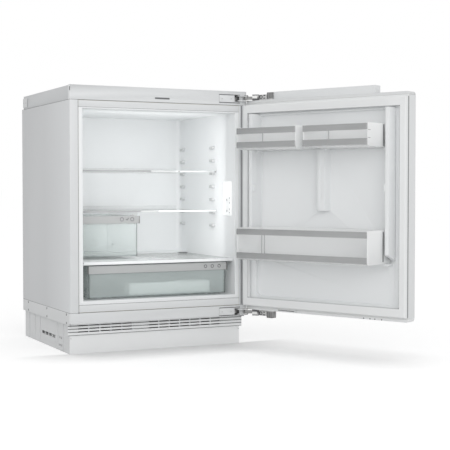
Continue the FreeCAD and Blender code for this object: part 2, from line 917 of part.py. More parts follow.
def tube_ring(middle, radius, across, up):
    """The flat-sided section of a thin tube."""
    ring = []
    for number in range(tube_sides):
        turn = number * math.pi * 2 / tube_sides
        ring.append(middle + across * (radius * math.cos(turn)) + up * (radius * math.sin(turn)))
    return Part.makePolygon(ring + ring[:1])


def bent_pipe(points, radius, bend):
    """A pipe along straight runs with a bend at each square turn; its first run is along X."""
    across, up = y_axis, z_axis
    rings = [tube_ring(points[0], radius, across, up)]
    for before, here, after in zip(points, points[1:], points[2:]):
        back = before.sub(here).normalize()
        ahead = after.sub(here).normalize()
        arm = ahead * -bend
        centre = here + back * bend - arm
        for step in range(bend_steps + 1):
            turn = FreeCAD.Rotation(ahead.cross(back), half_turn / 2 * step / bend_steps)
            rings.append(tube_ring(centre + turn.multVec(arm), radius, turn.multVec(across), turn.multVec(up)))
        across, up = turn.multVec(across), turn.multVec(up)
    rings.append(tube_ring(points[-1], radius, across, up))
    return Part.makeLoft(rings, True, True)


def make_pipes():
    """Suction and discharge pipes from the pot to the niche's front wall."""
    pipes = []
    for side in (-1, 1):
        x = pot_x - pot_radius - pot_foot_thick
        y = pot_y + side * pipe_offset / 2
        start_x = pot_x - pot_radius + pot_foot_thick
        low = base_sheet + mount_height + pot_height / 2 + side * pipe_offset
        points = [vec(start_x, y, low), vec(x - pipe_offset - side * pipe_offset / 2, y, low),
                  vec(x - pipe_offset - side * pipe_offset / 2, y, pipe_wall),
                  vec(x - pipe_offset - side * pipe_offset / 2, niche_front + sheet, pipe_wall)]
        pipes.append(bent_pipe(points, pipe_radius, pipe_bend).cut(nodes["compressor"]))
    nodes["refrigerant_pipes"] = Part.makeCompound(pipes)


def make_condenser():
    """Serpentine tube laid in the base, carried by two flat bars."""
    height = coil_low
    rings = [tube_ring(vec(coil_left, coil_front, height), coil_radius, x_axis, z_axis)]
    bend = coil_pitch / 2
    for number in range(coil_turns - 1):
        y = coil_front if number % 2 else coil_back
        way = -1 if number % 2 else 1
        centre_x = coil_left + number * coil_pitch + bend
        for step in range(bend_steps * 2 + 1):
            turn = math.pi * step / (bend_steps * 2)
            place = vec(centre_x - bend * math.cos(turn), y + bend * way * math.sin(turn), height)
            rings.append(tube_ring(place, coil_radius, vec(way * math.cos(turn), -math.sin(turn), 0), z_axis))
    last = vec(coil_left + (coil_turns - 1) * coil_pitch, coil_back, height)
    rings.append(tube_ring(last, coil_radius, x_axis, z_axis))
    nodes["condenser_coil"] = Part.makeLoft(rings, True, True)
    bars = []
    length = coil_turns * coil_pitch
    for y in (coil_front + coil_pitch, coil_back - coil_pitch):
        bar = block(coil_left - coil_pitch / 2, coil_left + length - coil_pitch / 2,
                    y - coil_bar_width / 2, y + coil_bar_width / 2, height - coil_radius - coil_bar_thick,
                    height - coil_radius)
        legs = [bar]
        for x in (coil_left - coil_pitch / 2, coil_left + length - coil_pitch / 2 - coil_bar_thick):
            legs.append(block(x, x + coil_bar_thick, y - coil_bar_width / 2, y + coil_bar_width / 2,
                              base_sheet, height - coil_radius))
        bars.append(joined(legs))
    nodes["condenser_bars"] = Part.makeCompound(bars)


# door, built closed in door lengths and turned open about the hinge pins
def door_x(s):
    return half_width - s


def door_y(d):
    return d - closed_gap


def slab(s0, s1, d0, d1, z0, z1):
    """A box given in door lengths."""
    return block(door_x(s1), door_x(s0), door_y(d0), door_y(d1), z0, z1)


def hinge_pin_place():
    return door_x(hinge_pin_s), door_y(hinge_pin_d)


def opened(shape):
    """Turn a closed door part to the open angle."""
    x, y = hinge_pin_place()
    turned = shape.copy()
    turned.rotate(vec(x, y, 0), z_axis, open_angle)
    return turned


def make_door_shell():
    """Outer skin of the door: front sheet with folded edges and a folded-in rim."""
    outer = slab(0, door_width, shell_far, shell_near, door_low, door_high)
    inner = slab(skin, door_width - skin, shell_far + skin, shell_near, door_low, door_high)
    nodes["door_shell"] = opened(outer.cut(inner))


def make_door_caps():
    """End caps of the door with rounded corners."""
    for name, low, high in (("door_cap_top", door_high, door_high + cap_height),
                            ("door_cap_bottom", door_low - cap_height, door_low)):
        cap = slab(0, door_width, shell_far, shell_near, low, high)
        edges = []
        for edge in edges_along(cap, y_axis):
            outward = edge.CenterOfMass.z > (low + high) / 2
            if outward == (low > base_height):
                edges.append(edge)
        nodes[name] = opened(cap.makeFillet(cap_corner, edges))


def make_seal():
    """Magnetic seal: a rounded ring on a narrower foot that sits in the liner's groove."""
    ring = slab(0, door_width, -seal_depth, 0, seal_low, seal_high)
    hole = slab(seal_width, door_width - seal_width, -seal_depth, 0,
                seal_low + seal_width_ends, seal_high - seal_width_ends)
    edges = [edge for edge in edges_along(ring, z_axis) + edges_along(ring, x_axis)
             if edge.CenterOfMass.y > door_y(-seal_depth / 2)]
    ring = ring.makeFillet(seal_round, edges).cut(hole)
    foot = slab(seal_foot, door_width - seal_foot, shell_near + liner_wall, -seal_depth,
                seal_low + seal_foot, seal_high - seal_foot)
    foot_hole = slab(seal_width - seal_foot / 2, door_width - seal_width + seal_foot / 2,
                     shell_near + liner_wall, -seal_depth,
                     seal_low + seal_width_ends - seal_foot / 2, seal_high - seal_width_ends + seal_foot / 2)
    nodes["door_seal"] = opened(joined([ring, foot.cut(foot_hole)]))


def dyke(outer, inner, base, top_d, grow, back_d):
    """A raised side wall of the door liner with a sloping lower end, grown inwards by a wall."""
    sign = 1 if inner > outer else -1
    s_out = outer + sign * grow
    s_in = inner - sign * grow
    s_base = base - sign * grow
    crest = top_d - grow
    outline = [(s_out, back_d), (s_out, crest), (s_in, crest), (s_base, back_d)]
    points = [(door_x(s), door_y(d)) for s, d in outline]
    shape = prism(points, dyke_low + grow, dyke_high - grow)
    wedge = Part.Face(Part.makePolygon([
        vec(-half_width, door_y(back_d), dyke_low + grow),
        vec(-half_width, door_y(top_d), dyke_low + grow),
        vec(-half_width, door_y(top_d), dyke_low + grow + dyke_slope),
        vec(-half_width, door_y(back_d), dyke_low + grow)])).extrude(vec(body_width, 0, 0))
    return shape.cut(wedge)


def make_door_liner():
    """Door's inner panel: flat rim, recessed field, raised side walls and a centre rib."""
    rim_d = shell_near + liner_wall
    plate = slab(skin, door_width - skin, shell_near, rim_d, door_low, door_high)
    left, right = field_edge, door_width - field_edge
    pan = rounded(door_x(right), door_x(left), door_y(field_d - liner_wall), door_y(rim_d),
                  field_low, field_high, field_corner, y_axis)
    room = rounded(door_x(right - liner_wall), door_x(left + liner_wall), door_y(field_d), door_y(rim_d),
                   field_low + liner_wall, field_high - liner_wall, field_corner - liner_wall, y_axis)
    filled = plate.fuse(pan)
    walls = []
    hollows = []
    sides = ((dyke_outer, dyke_inner, dyke_base),
             (dyke_free_outer, dyke_free_inner, dyke_free_inner - (dyke_base - dyke_inner)))
    for outer, inner, base in sides:
        walls.append(dyke(outer, inner, base, dyke_crest, 0, field_d - liner_wall))
        hollows.append(dyke(outer, inner, base, dyke_crest, liner_wall, field_d - liner_wall))
    outline = [(rib_left_s, field_d), (rib_left_s + rib_side, rib_crest),
               (rib_right_s - rib_side, rib_crest), (rib_right_s, field_d)]
    rib = prism([(door_x(s), door_y(d)) for s, d in outline], rib_bottom, upper_rack_low)
    shell = filled.cut(room).fuse(walls + [rib])
    middle = (rib_left_s + rib_right_s) / 2
    for share in rib_slot_shares:
        low = rib_bottom + share * (upper_rack_low - rib_bottom)
        shell = shell.cut(slab(middle - rib_slot_width / 2, middle + rib_slot_width / 2,
                               rib_crest - rib_slot_depth, rib_crest, low, low + rib_slot_height))
    shell = shell.cut(hollows[0]).cut(hollows[1])
    ledges = []
    for low in (upper_rack_low, lower_rack_low):
        for s0, s1 in ((dyke_inner, rack_left + rack_ledge_length),
                       (rack_right - rack_ledge_length, dyke_free_inner)):
            ledges.append(slab(s0, s1, field_d, rack_ledge_far, low - rack_ledge_thick, low))
    shell = shell.fuse(ledges).removeSplitter()
    nodes["door_liner"] = opened(shell)
    return filled, walls


def make_door_foam(filled, walls):
    """Foam core of the door, up into the raised side walls."""
    core = slab(skin, door_width - skin, shell_far + skin, shell_near, door_low, door_high)
    foam = core.cut(filled)
    nodes["door_foam"] = opened(foam.cut(walls[0]).cut(walls[1]))


def rack_tray(name, s0, s1, low, rises):
    """A door rack: clear tray with end panels, and two front bars."""
    bars = [low + rise for rise in rises]
    top = bars[-1] + bar_height + rack_top_over
    outer = slab(s0, s1, rack_back, rack_front, low, top)
    edges = [edge for edge in edges_along(outer, x_axis)
             if edge.CenterOfMass.z < (low + top) / 2 and edge.CenterOfMass.y > door_y(0)]
    outer = outer.makeFillet(rack_round, edges)
    inner = slab(s0 + rack_wall, s1 - rack_wall, rack_back + rack_wall, rack_front + rack_wall,
                 low + rack_wall, top + rack_wall)
    tray = outer.cut(inner)
    nodes[name + "_tray"] = opened(tray)
    rods = []
    for height in bars:
        rod = slab(s0, s1, rack_front, rack_front + bar_thick, height, height + bar_height)
        rods.append(rod.makeChamfer(bar_cap, edges_along(rod, z_axis)))
    nodes[name + "_bars"] = opened(Part.makeCompound(rods))


def make_mounting_rail():
    """Rail on top of the door that a furniture front hangs from."""
    low = door_high + cap_height
    rail = slab(rail_left_s, rail_right_s, shell_far, rail_near_d, low, rail_top)
    rail = rail.makeFillet(rail_wall, edges_along(rail, y_axis)[2:4])
    room = slab(rail_left_s, rail_right_s, shell_far, rail_near_d - rail_wall, low + rail_wall,
                rail_top - rail_wall)
    room = room.common(slab(rail_left_s + rail_wall, rail_right_s - rail_wall, shell_far,
                            rail_near_d, low, rail_top))
    rail = rail.cut(room)
    nodes["mounting_rail"] = opened(rail)


# hinges
def bent_bar(points, half, low, high):
    """A flat bar along a line of points, mitred at its turns."""
    sides = []
    for (x0, y0), (x1, y1) in zip(points, points[1:]):
        length = math.hypot(x1 - x0, y1 - y0)
        sides.append(((y0 - y1) / length, (x1 - x0) / length))
    left, right = [], []
    for (x, y), (ax, ay), (bx, by) in zip(points, sides[:1] + sides, sides + sides[-1:]):
        out = half / (1 + ax * bx + ay * by)
        left.append((x + (ax + bx) * out, y + (ay + by) * out))
        right.append((x - (ax + bx) * out, y - (ay + by) * out))
    return prism(left + right[::-1], low, high)


def make_hinge(name, side):
    """One door hinge: housing with arm, pins, link and door bracket."""
    pin_x, pin_y = hinge_pin_place()
    low, high = hinge_span(side, -plate_down, plate_up)
    housing = block(plate_left_x + slide_gap, plate_right_x - slide_gap, -plate_proud, housing_depth,
                    low + slide_gap, high - slide_gap)
    mouth_low, mouth_high = hinge_span(side, -mouth_down, mouth_up)
    mouth = block(mouth_left_x, mouth_right_x, -plate_proud, housing_depth - housing_wall,
                  mouth_low, mouth_high)
    parts = [housing.cut(mouth)]
    arm_far = link_far + arm_clear
    for near in (arm_near, arm_far):
        z0, z1 = hinge_span(side, near, near + arm_thick)
        parts.append(bent_bar([(arm_root_x, arm_root_y), (arm_elbow_x, arm_elbow_y), (pin_x, pin_y)],
                              arm_half, z0, z1))
        parts.append(disc(pin_x, pin_y, z0, z1, knuckle_radius))
    z0, z1 = hinge_span(side, arm_near, arm_far + arm_thick)
    parts.append(block(arm_root_x - arm_half, mouth_right_x, arm_root_y, housing_depth - housing_wall, z0, z1))
    body = joined(parts)
    body = body.cut(disc(pin_x, pin_y, z0, z1, pin_radius + pin_clear))
    nodes[name + "_housing"] = body
    heads = [hexagon(pin_x, pin_y, z0 - pin_head, z0, pin_head_radius),
             hexagon(pin_x, pin_y, z1, z1 + pin_head, pin_head_radius)]
    pin = joined([disc(pin_x, pin_y, z0, z1, pin_radius)] + heads)

    z0, z1 = hinge_span(side, link_near, link_far)
    end_x, end_y = door_x(link_pin_s), door_y(link_pin_d)
    link = bent_bar([(pin_x, pin_y), (end_x, end_y)], link_half, z0, z1)
    link = link.fuse([disc(pin_x, pin_y, z0, z1, knuckle_radius - arm_clear),
                      hexagon(end_x, end_y, z0, z1, link_round)])
    link = link.cut(disc(pin_x, pin_y, z0, z1, pin_radius + pin_clear)).removeSplitter()
    link = link.cut(disc(end_x, end_y, z0, z1, pin_radius))

    z0, z1 = hinge_span(side, 0, bracket_thick)
    plate = slab(bracket_left_s, bracket_right_s, bracket_far_d, bracket_near_d, z0, z1)
    z0, z1 = hinge_span(side, 0, bracket_block_height)
    stop = slab(bracket_block_s, bracket_right_s - slide_gap, bracket_far_d, bracket_near_d, z0, z1)
    z0, z1 = hinge_span(side, bracket_thick, link_far + arm_thick)
    stud = disc(end_x, end_y, z0, z1, pin_radius)
    z0, z1 = hinge_span(side, bracket_thick, link_near)
    boss = hexagon(end_x, end_y, z0, z1, link_round)
    z0, z1 = hinge_span(side, link_far, link_far + arm_thick)
    nut = hexagon(end_x, end_y, z0, z1, pin_head_radius)
    bracket = joined([plate, stop, stud, boss, nut])
    return pin, opened(link), opened(bracket)


def make_hinges():
    """Both hinges; their like pieces share a file."""
    upper = make_hinge("hinge_upper", 1)
    lower = make_hinge("hinge_lower", -1)
    for place, name in enumerate(("hinge_pins", "hinge_links", "hinge_brackets")):
        nodes[name] = Part.makeCompound([upper[place], lower[place]])


def make_hinge_screws():
    """Screws that hold both door brackets."""
    heads = []
    for side in (-1, 1):
        z0, z1 = hinge_span(side, bracket_thick, bracket_thick + screw_head_thick)
        for s in bracket_screw_s:
            heads.append(hexagon(door_x(s), door_y((bracket_near_d + bracket_far_d) / 2), z0, z1,
                                 screw_head_radius))
    nodes["bracket_screws"] = opened(Part.makeCompound(heads))


make_casing()
make_rear_panel()
make_frame_rails()
make_insulation(make_liner())
make_ribs()
make_drain()
make_shelf("shelf_lower", shelf_ribs[0])
make_shelf("shelf_upper", shelf_ribs[1])
make_cover_plate()
make_drawer()
make_runners()
make_half_drawer()
make_hangers()
make_control_unit()
make_top()
make_lower_fascia()
make_grille()
make_plinth()
make_base()
make_feet()
make_compressor()
make_inlet()
make_pipes()
make_condenser()
make_door_shell()
make_door_caps()
make_seal()
make_door_foam(*make_door_liner())
rack_tray("rack_upper_left", rack_left, half_left_end, upper_rack_low, upper_bar_rises)
rack_tray("rack_upper_right", half_right_start, rack_right, upper_rack_low, upper_bar_rises)
rack_tray("rack_lower", rack_left, rack_right, lower_rack_low, lower_bar_rises)
make_mounting_rail()
make_hinges()
make_hinge_screws()

for name, shape in nodes.items():
    moved = shape.copy()
    moved.translate(shift)
    moved.exportStep("parts/" + name + ".step")
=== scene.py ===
import json
import math

import bmesh
import bpy
from mathutils import Matrix, Vector


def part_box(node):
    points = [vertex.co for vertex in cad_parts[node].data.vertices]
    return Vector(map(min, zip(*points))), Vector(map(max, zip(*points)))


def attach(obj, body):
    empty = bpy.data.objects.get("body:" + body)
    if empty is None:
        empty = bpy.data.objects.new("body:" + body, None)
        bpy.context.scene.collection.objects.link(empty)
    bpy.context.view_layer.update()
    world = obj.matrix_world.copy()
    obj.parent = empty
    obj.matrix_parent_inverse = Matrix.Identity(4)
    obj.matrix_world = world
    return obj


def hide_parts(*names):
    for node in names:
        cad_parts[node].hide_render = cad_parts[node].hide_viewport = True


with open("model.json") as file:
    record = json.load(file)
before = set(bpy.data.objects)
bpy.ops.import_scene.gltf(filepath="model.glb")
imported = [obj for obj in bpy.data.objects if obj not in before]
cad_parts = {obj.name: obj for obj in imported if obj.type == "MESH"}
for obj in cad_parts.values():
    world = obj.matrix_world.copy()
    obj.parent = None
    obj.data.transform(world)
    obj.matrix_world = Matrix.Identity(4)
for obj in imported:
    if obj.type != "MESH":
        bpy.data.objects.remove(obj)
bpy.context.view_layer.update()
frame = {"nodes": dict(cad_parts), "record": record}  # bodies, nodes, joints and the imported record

# places shared by many pieces, metres in the row frame
fridge = {
    "halfWidth": 0.2985,
    "front": -0.25775,  # the body's front plane
    "doorAngle": 115.0,
    "hingePin": (0.29216, -0.26899),
    "doorGap": 0.001,  # seal face to body front with the door shut
}
mm = 0.001
slotOf = {entry["node"]: entry["material_slot"] for entry in frame["record"]["subparts"]}
bodyOf = {nodeName: bodyName for bodyName, bodyNodes in frame["record"]["behaviour"]["bodies"].items()
    for nodeName in bodyNodes}

pin = Matrix.Translation((*fridge["hingePin"], 0))
doorTurn = pin @ Matrix.Rotation(math.radians(fridge["doorAngle"]), 4, "Z") @ pin.inverted()
right, back, upward = Vector((1, 0, 0)), Vector((0, 1, 0)), Vector((0, 0, 1))


def doorPoint(s, d, z):  # door lengths in mm, given as the door stands shut
    return Vector((fridge["halfWidth"] - s * mm, fridge["front"] + d * mm - fridge["doorGap"], z * mm))


def bodyPoint(x, y, z):  # body lengths in mm from the front plane
    return Vector((x * mm, fridge["front"] + y * mm, z * mm))


def rowPoint(x, y, z):  # metres in the row frame
    return Vector((x, y, z))


def addNode(tree, kind, inputs=None, **settings):  # its inputs are set or linked, its outputs come back
    node = tree.nodes.new(kind)
    for label, value in settings.items():
        setattr(node, label, value)
    for socket, value in (inputs or {}).items():
        if isinstance(value, bpy.types.NodeSocket):
            tree.links.new(value, node.inputs[socket])
        else:
            node.inputs[socket].default_value = value
    return node.outputs


def makeFinish(name, look):
    material = bpy.data.materials.new(name)
    material.use_nodes = True
    tree = material.node_tree
    shader = tree.nodes["Principled BSDF"]
    for socket, label, usual in (("Metallic", "metal", 0.0), ("Alpha", "alpha", 1.0), ("IOR", "ior", 1.46),
            ("Coat Weight", "coat", 0.0), ("Coat Roughness", "coatRough", 0.1)):
        shader.inputs[socket].default_value = look.get(label, usual)
    if "glow" in look:
        shader.inputs["Emission Color"].default_value = (*look["colour"], 1)
        shader.inputs["Emission Strength"].default_value = look["glow"]

    def noise(source, scale, detail):
        return addNode(tree, "ShaderNodeTexNoise",
            {"Vector": source, "Scale": scale, "Detail": detail})["Fac"]

    def mixed(kind, share, first, second):
        return addNode(tree, "ShaderNodeMix", {0: share, 6: first, 7: second},
            data_type="RGBA", blend_type=kind)[2]

    def ranged(value, low, high, end=1.0):
        return addNode(tree, "ShaderNodeMapRange",
            {"Value": value, "From Max": end, "To Min": low, "To Max": high})["Result"]

    place = addNode(tree, "ShaderNodeTexCoord")["Object"]
    turned = addNode(tree, "ShaderNodeVectorRotate",
        {"Vector": place, "Angle": math.radians(look.get("turn", 0.0))})
    stretched = addNode(tree, "ShaderNodeMapping",
        {"Vector": turned["Vector"], "Scale": look.get("stretch", (1, 1, 1))})
    dark, pale = [(*[min(1, c * (1 + way * look["drift"])) for c in look["colour"]], 1) for way in (-1, 1)]
    tone = mixed("MIX", noise(place, look.get("driftScale", 4.0), 3), dark, pale)  # slow tone changes
    if "frontLight" in look:  # painted light: the sheet's colour grows lighter towards the front
        depth = addNode(tree, "ShaderNodeSeparateXYZ", {"Vector": place})["Y"]
        tone = mixed("MULTIPLY", 1.0, tone, ranged(depth, 1.0, 1.0 + look["frontLight"], end=fridge["front"]))
    grain = noise(stretched["Vector"], look["grainScale"], look.get("grainDetail", 4))
    if "streak" in look:  # brushing lines darken and lighten the colour too
        tone = mixed("MULTIPLY", look["streak"], tone, ranged(grain, 0.6, 1.3))
    bump = addNode(tree, "ShaderNodeBump", {"Height": grain, "Strength": look["bump"], "Distance": 0.2 * mm})
    tree.links.new(tone, shader.inputs["Base Color"])
    tree.links.new(ranged(grain, *look["rough"]), shader.inputs["Roughness"])
    tree.links.new(bump["Normal"], shader.inputs["Normal"])
    return material


def lookOf(colour, rough, grainScale, bump, drift, **more):
    return {"colour": colour, "rough": rough, "grainScale": grainScale, "bump": bump, "drift": drift, **more}


looks = {
    "enamelWhite": lookOf((0.74, 0.753, 0.76), (0.30, 0.42), 420, 0.06, 0.012, coat=0.25, coatRough=0.2),
    # painted shade: the front's white enamel again, darker for the side and top sheets
    "shadedEnamel": lookOf((0.585, 0.597, 0.607), (0.34, 0.46), 420, 0.06, 0.015),
    "linerWhite": lookOf((0.88, 0.895, 0.902), (0.28, 0.40), 260, 0.05, 0.01),
    "doorWhite": lookOf((0.85, 0.865, 0.872), (0.30, 0.42), 260, 0.05, 0.012),
    "mattWhite": lookOf((0.70, 0.71, 0.715), (0.48, 0.62), 1500, 0.16, 0.02),
    # painted light: a paler white that lifts the plinth, grille and the door's bottom cap, which get little
    # light from below
    "paintedLightWhite": lookOf((0.84, 0.85, 0.853), (0.45, 0.6), 1500, 0.14, 0.012),
    "ribShade": lookOf((0.64, 0.65, 0.652), (0.4, 0.5), 260, 0.05, 0.01),
    "stopGrey": lookOf((0.27, 0.27, 0.268), (0.35, 0.5), 900, 0.1, 0.08, metal=0.3),
    # painted shade for grille rows and rack gaps
    "seamShadeGrey": lookOf((0.22, 0.225, 0.228), (0.4, 0.55), 900, 0.1, 0.05),
    "trimClear": lookOf((0.88, 0.90, 0.90), (0.1, 0.2), 200, 0.03, 0.01, alpha=0.07),
    "mattGrey": lookOf((0.68, 0.69, 0.695), (0.45, 0.6), 1500, 0.16, 0.03),
    "sealVinyl": lookOf((0.83, 0.84, 0.842), (0.5, 0.62), 800, 0.1, 0.02),
    "sealGapShade": lookOf((0.26, 0.265, 0.27), (0.5, 0.7), 800, 0.1, 0.06),
    "darkPlasticAndShade": lookOf((0.10, 0.10, 0.105), (0.35, 0.5), 1400, 0.15, 0.06),
    "markGrey": lookOf((0.16, 0.165, 0.17), (0.4, 0.5), 1400, 0.1, 0.04),
    "railGrey": lookOf((0.31, 0.315, 0.315), (0.32, 0.45), 1200, 0.1, 0.03),
    "trimSilver": lookOf((0.40, 0.41, 0.41), (0.26, 0.4), 900, 0.05, 0.02, metal=0.35, stretch=(0.05, 1, 1)),
    "barSilver": lookOf((0.38, 0.385, 0.388), (0.34, 0.5), 700, 0.12, 0.10, metal=0.55, turn=-115.0,
        stretch=(0.02, 1, 1), streak=0.3, driftScale=9.0),
    "hingeNickel": lookOf((0.55, 0.55, 0.545), (0.28, 0.42), 1100, 0.08, 0.05, metal=1.0),
    "zincSheet": lookOf((0.50, 0.515, 0.53), (0.32, 0.5), 60, 0.05, 0.08, metal=0.7, grainDetail=2,
        driftScale=30.0),
    "copperTube": lookOf((0.72, 0.36, 0.2), (0.22, 0.42), 500, 0.06, 0.12, metal=1.0, driftScale=18.0),
    "blackEnamel": lookOf((0.018, 0.018, 0.02), (0.22, 0.36), 500, 0.1, 0.1, coat=0.5),
    "rubberBlack": lookOf((0.03, 0.03, 0.032), (0.6, 0.78), 900, 0.2, 0.1),
    "glassClear": lookOf((0.80, 0.86, 0.85), (0.03, 0.06), 30, 0.0, 0.01, alpha=0.10, ior=1.5),
    "plateClear": lookOf((0.90, 0.92, 0.917), (0.08, 0.14), 30, 0.0, 0.01, alpha=0.75, ior=1.5),
    "halfClear": lookOf((0.72, 0.79, 0.78), (0.10, 0.16), 200, 0.04, 0.03, alpha=0.24, ior=1.5),
    "shelfMid": lookOf((0.52, 0.53, 0.532), (0.3, 0.4), 260, 0.05, 0.02),
    "railPale": lookOf((0.455, 0.465, 0.465), (0.32, 0.45), 1200, 0.1, 0.03),
    "shelfShade": lookOf((0.30, 0.305, 0.308), (0.3, 0.4), 260, 0.05, 0.02),
    "drawerClear": lookOf((0.68, 0.755, 0.745), (0.10, 0.16), 200, 0.04, 0.03, alpha=0.33, ior=1.5),
    "rackClear": lookOf((0.94, 0.95, 0.952), (0.16, 0.24), 200, 0.04, 0.02, alpha=0.9),
    # painted light: the light unit's housing glows, though only its cover is a lamp
    "paintedGlowWhite": lookOf((0.93, 0.94, 0.94), (0.2, 0.3), 300, 0.02, 0.01, glow=0.25),
    "lampGlow": lookOf((1.0, 1.0, 1.0), (0.2, 0.3), 300, 0.02, 0.0, glow=0.6),
    # painted shade for joints, gaps and slots
    "gapShadeGrey": lookOf((0.13, 0.135, 0.14), (0.5, 0.7), 900, 0.1, 0.06),
    "channelGrey": lookOf((0.46, 0.47, 0.475), (0.45, 0.6), 900, 0.1, 0.04),
    "capGrey": lookOf((0.15, 0.155, 0.155), (0.35, 0.5), 1200, 0.1, 0.04),
    "edgeGreen": lookOf((0.13, 0.16, 0.155), (0.12, 0.2), 200, 0.03, 0.05, alpha=0.85, ior=1.5),
    # painted light: the drawer step's faint glow
    "frostClear": lookOf((0.92, 0.98, 0.965), (0.2, 0.32), 260, 0.05, 0.03, alpha=0.95, glow=0.05),
    "foamCream": lookOf((0.72, 0.65, 0.46), (0.7, 0.85), 260, 0.4, 0.08),
}
# painted light: the casing's sides grow lighter towards the front
looks["casingSide"] = dict(looks["shadedEnamel"], frontLight=0.19)
finish = {name: makeFinish(name, look) for name, look in looks.items()}
print("finishes made:", len(finish))

nodesOfFinish = {
    "casingSide": "casing",
    "shadedEnamel": "top_cover",
    "enamelWhite": "frame_rails top_fascia lower_fascia mounting_rail door_shell",
    "linerWhite": "liner drawer_runners cover_plate_trim",
    "doorWhite": "door_liner",
    "mattWhite": "drain_pipe water_tray control_buttons door_cap_top",
    "paintedLightWhite": "vent_grille plinth_panel door_cap_bottom",
    "mattGrey": "top_end_brackets base_tray base_strips",
    "ribShade": "shelf_ribs",
    "sealVinyl": "door_seal",
    "foamCream": "insulation door_foam",
    "markGrey": "fascia_mark",
    "darkPlasticAndShade": "terminal_box mains_inlet bracket_screws cover_plate_caps",
    "rubberBlack": "feet compressor_mounts",
    "blackEnamel": "compressor",
    "copperTube": "condenser_coil refrigerant_pipes",
    "zincSheet": "rear_panel condenser_bars",
    "hingeNickel": "hinge_upper_housing hinge_lower_housing hinge_pins hinge_brackets",
    "stopGrey": "hinge_links",
    "paintedGlowWhite": "control_housing",
    "lampGlow": "light_cover",
    "glassClear": "shelf_lower_glass shelf_upper_glass",
    "trimSilver": "shelf_lower_trims shelf_upper_trims",
    "plateClear": "cover_plate_glass",
    "drawerClear": "drawer_box",
    "railPale": "drawer_rail",
    "halfClear": "half_drawer_box",
    "railGrey": "half_drawer_rail",
    "trimClear": "half_drawer_hangers",
    "rackClear": "rack_upper_left_tray rack_upper_right_tray rack_lower_tray",
    "barSilver": "rack_upper_left_bars rack_upper_right_bars rack_lower_bars",
}
nodeFinish = {nodeName: name for name, names in nodesOfFinish.items() for nodeName in names.split()}
for nodeName, node in frame["nodes"].items():
    node.data.materials.clear()
    node.data.materials.append(finish[nodeFinish[nodeName]])


def meshFrom(bm, name):
    mesh = bpy.data.meshes.new(name)
    bm.to_mesh(mesh)
    bm.free()
    return mesh


def addObject(name, data):
    made = bpy.data.objects.new(name, data)
    bpy.context.scene.collection.objects.link(made)
    return made


def addPiece(shape, name, finishName, node, body=None, turn=None, sharp=35.0):  # node gives the body; its slot is read but not used
    body, slotName = body or bodyOf[node], slotOf[node]
    if turn is not None:
        shape.transform(turn)
    mesh = shape
    if isinstance(shape, bmesh.types.BMesh):
        bmesh.ops.recalc_face_normals(shape, faces=shape.faces[:])
        mesh = meshFrom(shape, name)
    mesh.materials.clear()
    mesh.materials.append(finish[finishName])
    for face in mesh.polygons:
        face.use_smooth = True
    mesh.set_sharp_from_angle(angle=math.radians(sharp))
    piece = addObject(name, mesh)
    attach(piece, body)
    return piece


def evaluated(obj):
    depsgraph = bpy.context.evaluated_depsgraph_get()
    mesh = bpy.data.meshes.new_from_object(obj.evaluated_get(depsgraph))
    bpy.data.objects.remove(obj)
    return mesh


def addBlock(bm, point, xs, ys, zs, edge=0.0, steps=2):  # a box between pairs of places, edges rounded
    a, b = [point(*corner) for corner in zip(xs, ys, zs)]
    low = Vector([min(p, q) for p, q in zip(a, b)])
    high = Vector([max(p, q) for p, q in zip(a, b)])
    place = Matrix.Translation((low + high) / 2) @ Matrix.Diagonal((*(high - low), 1))
    made = bmesh.ops.create_cube(bm, size=1.0, matrix=place)
    if edge:
        edges = {line for vert in made["verts"] for line in vert.link_edges}
        bmesh.ops.bevel(bm, geom=list(edges), offset=edge, segments=steps, affect="EDGES", profile=0.5)


def around(middle, half):  # a pair of places round a middle
    return middle - half, middle + half


def addBlocks(name, finishName, node, point, blocks, body=None):  # a piece made of blocks alone
    bm = bmesh.new()
    for block in blocks:
        addBlock(bm, point, *block)
    return addPiece(bm, name, finishName, node, body, doorTurn if point is doorPoint else None)


keepTriangles = ("casing", "rear_panel", "top_cover", "liner", "base_strips", "mounting_rail")
softLook = {"weld": 0.00001, "flat": 0.5, "steps": 2, "corner": 30.0, "sharp": 50}
softEdges = {  # edge radius in mm of each moulded or folded piece
    "casing": 0.9, "frame_rails": 0.4, "top_fascia": 1.2, "top_cover": 1.4,
    "lower_fascia": 1.0, "vent_grille": 0.4, "plinth_panel": 0.9, "base_strips": 0.6,
    "top_end_brackets": 0.8, "door_cap_top": 1.6, "door_cap_bottom": 1.6, "mounting_rail": 1.0,
    "door_shell": 0.6, "drawer_rail": 1.2, "half_drawer_rail": 1.2, "shelf_ribs": 1.8,
    "drawer_runners": 1.5, "half_drawer_hangers": 0.4, "cover_plate_caps": 0.4,
    "rack_upper_left_tray": 0.8, "rack_upper_right_tray": 0.8, "rack_lower_tray": 0.8,
    "rack_upper_left_bars": 0.5, "rack_upper_right_bars": 0.5, "rack_lower_bars": 0.5,
    "shelf_lower_trims": 0.5, "shelf_upper_trims": 0.5, "cover_plate_trim": 0.5,
    "shelf_lower_glass": 0.5, "shelf_upper_glass": 0.5, "cover_plate_glass": 0.5,
    "drawer_box": 0.7, "half_drawer_box": 0.7, "door_liner": 0.9, "liner": 0.9,
    "mains_inlet": 0.8, "terminal_box": 1.5, "water_tray": 0.6, "rear_panel": 0.3,
    "hinge_upper_housing": 0.4, "hinge_lower_housing": 0.4, "hinge_links": 0.6,
    "hinge_brackets": 0.5, "control_housing": 0.6, "compressor_mounts": 1.5,
}


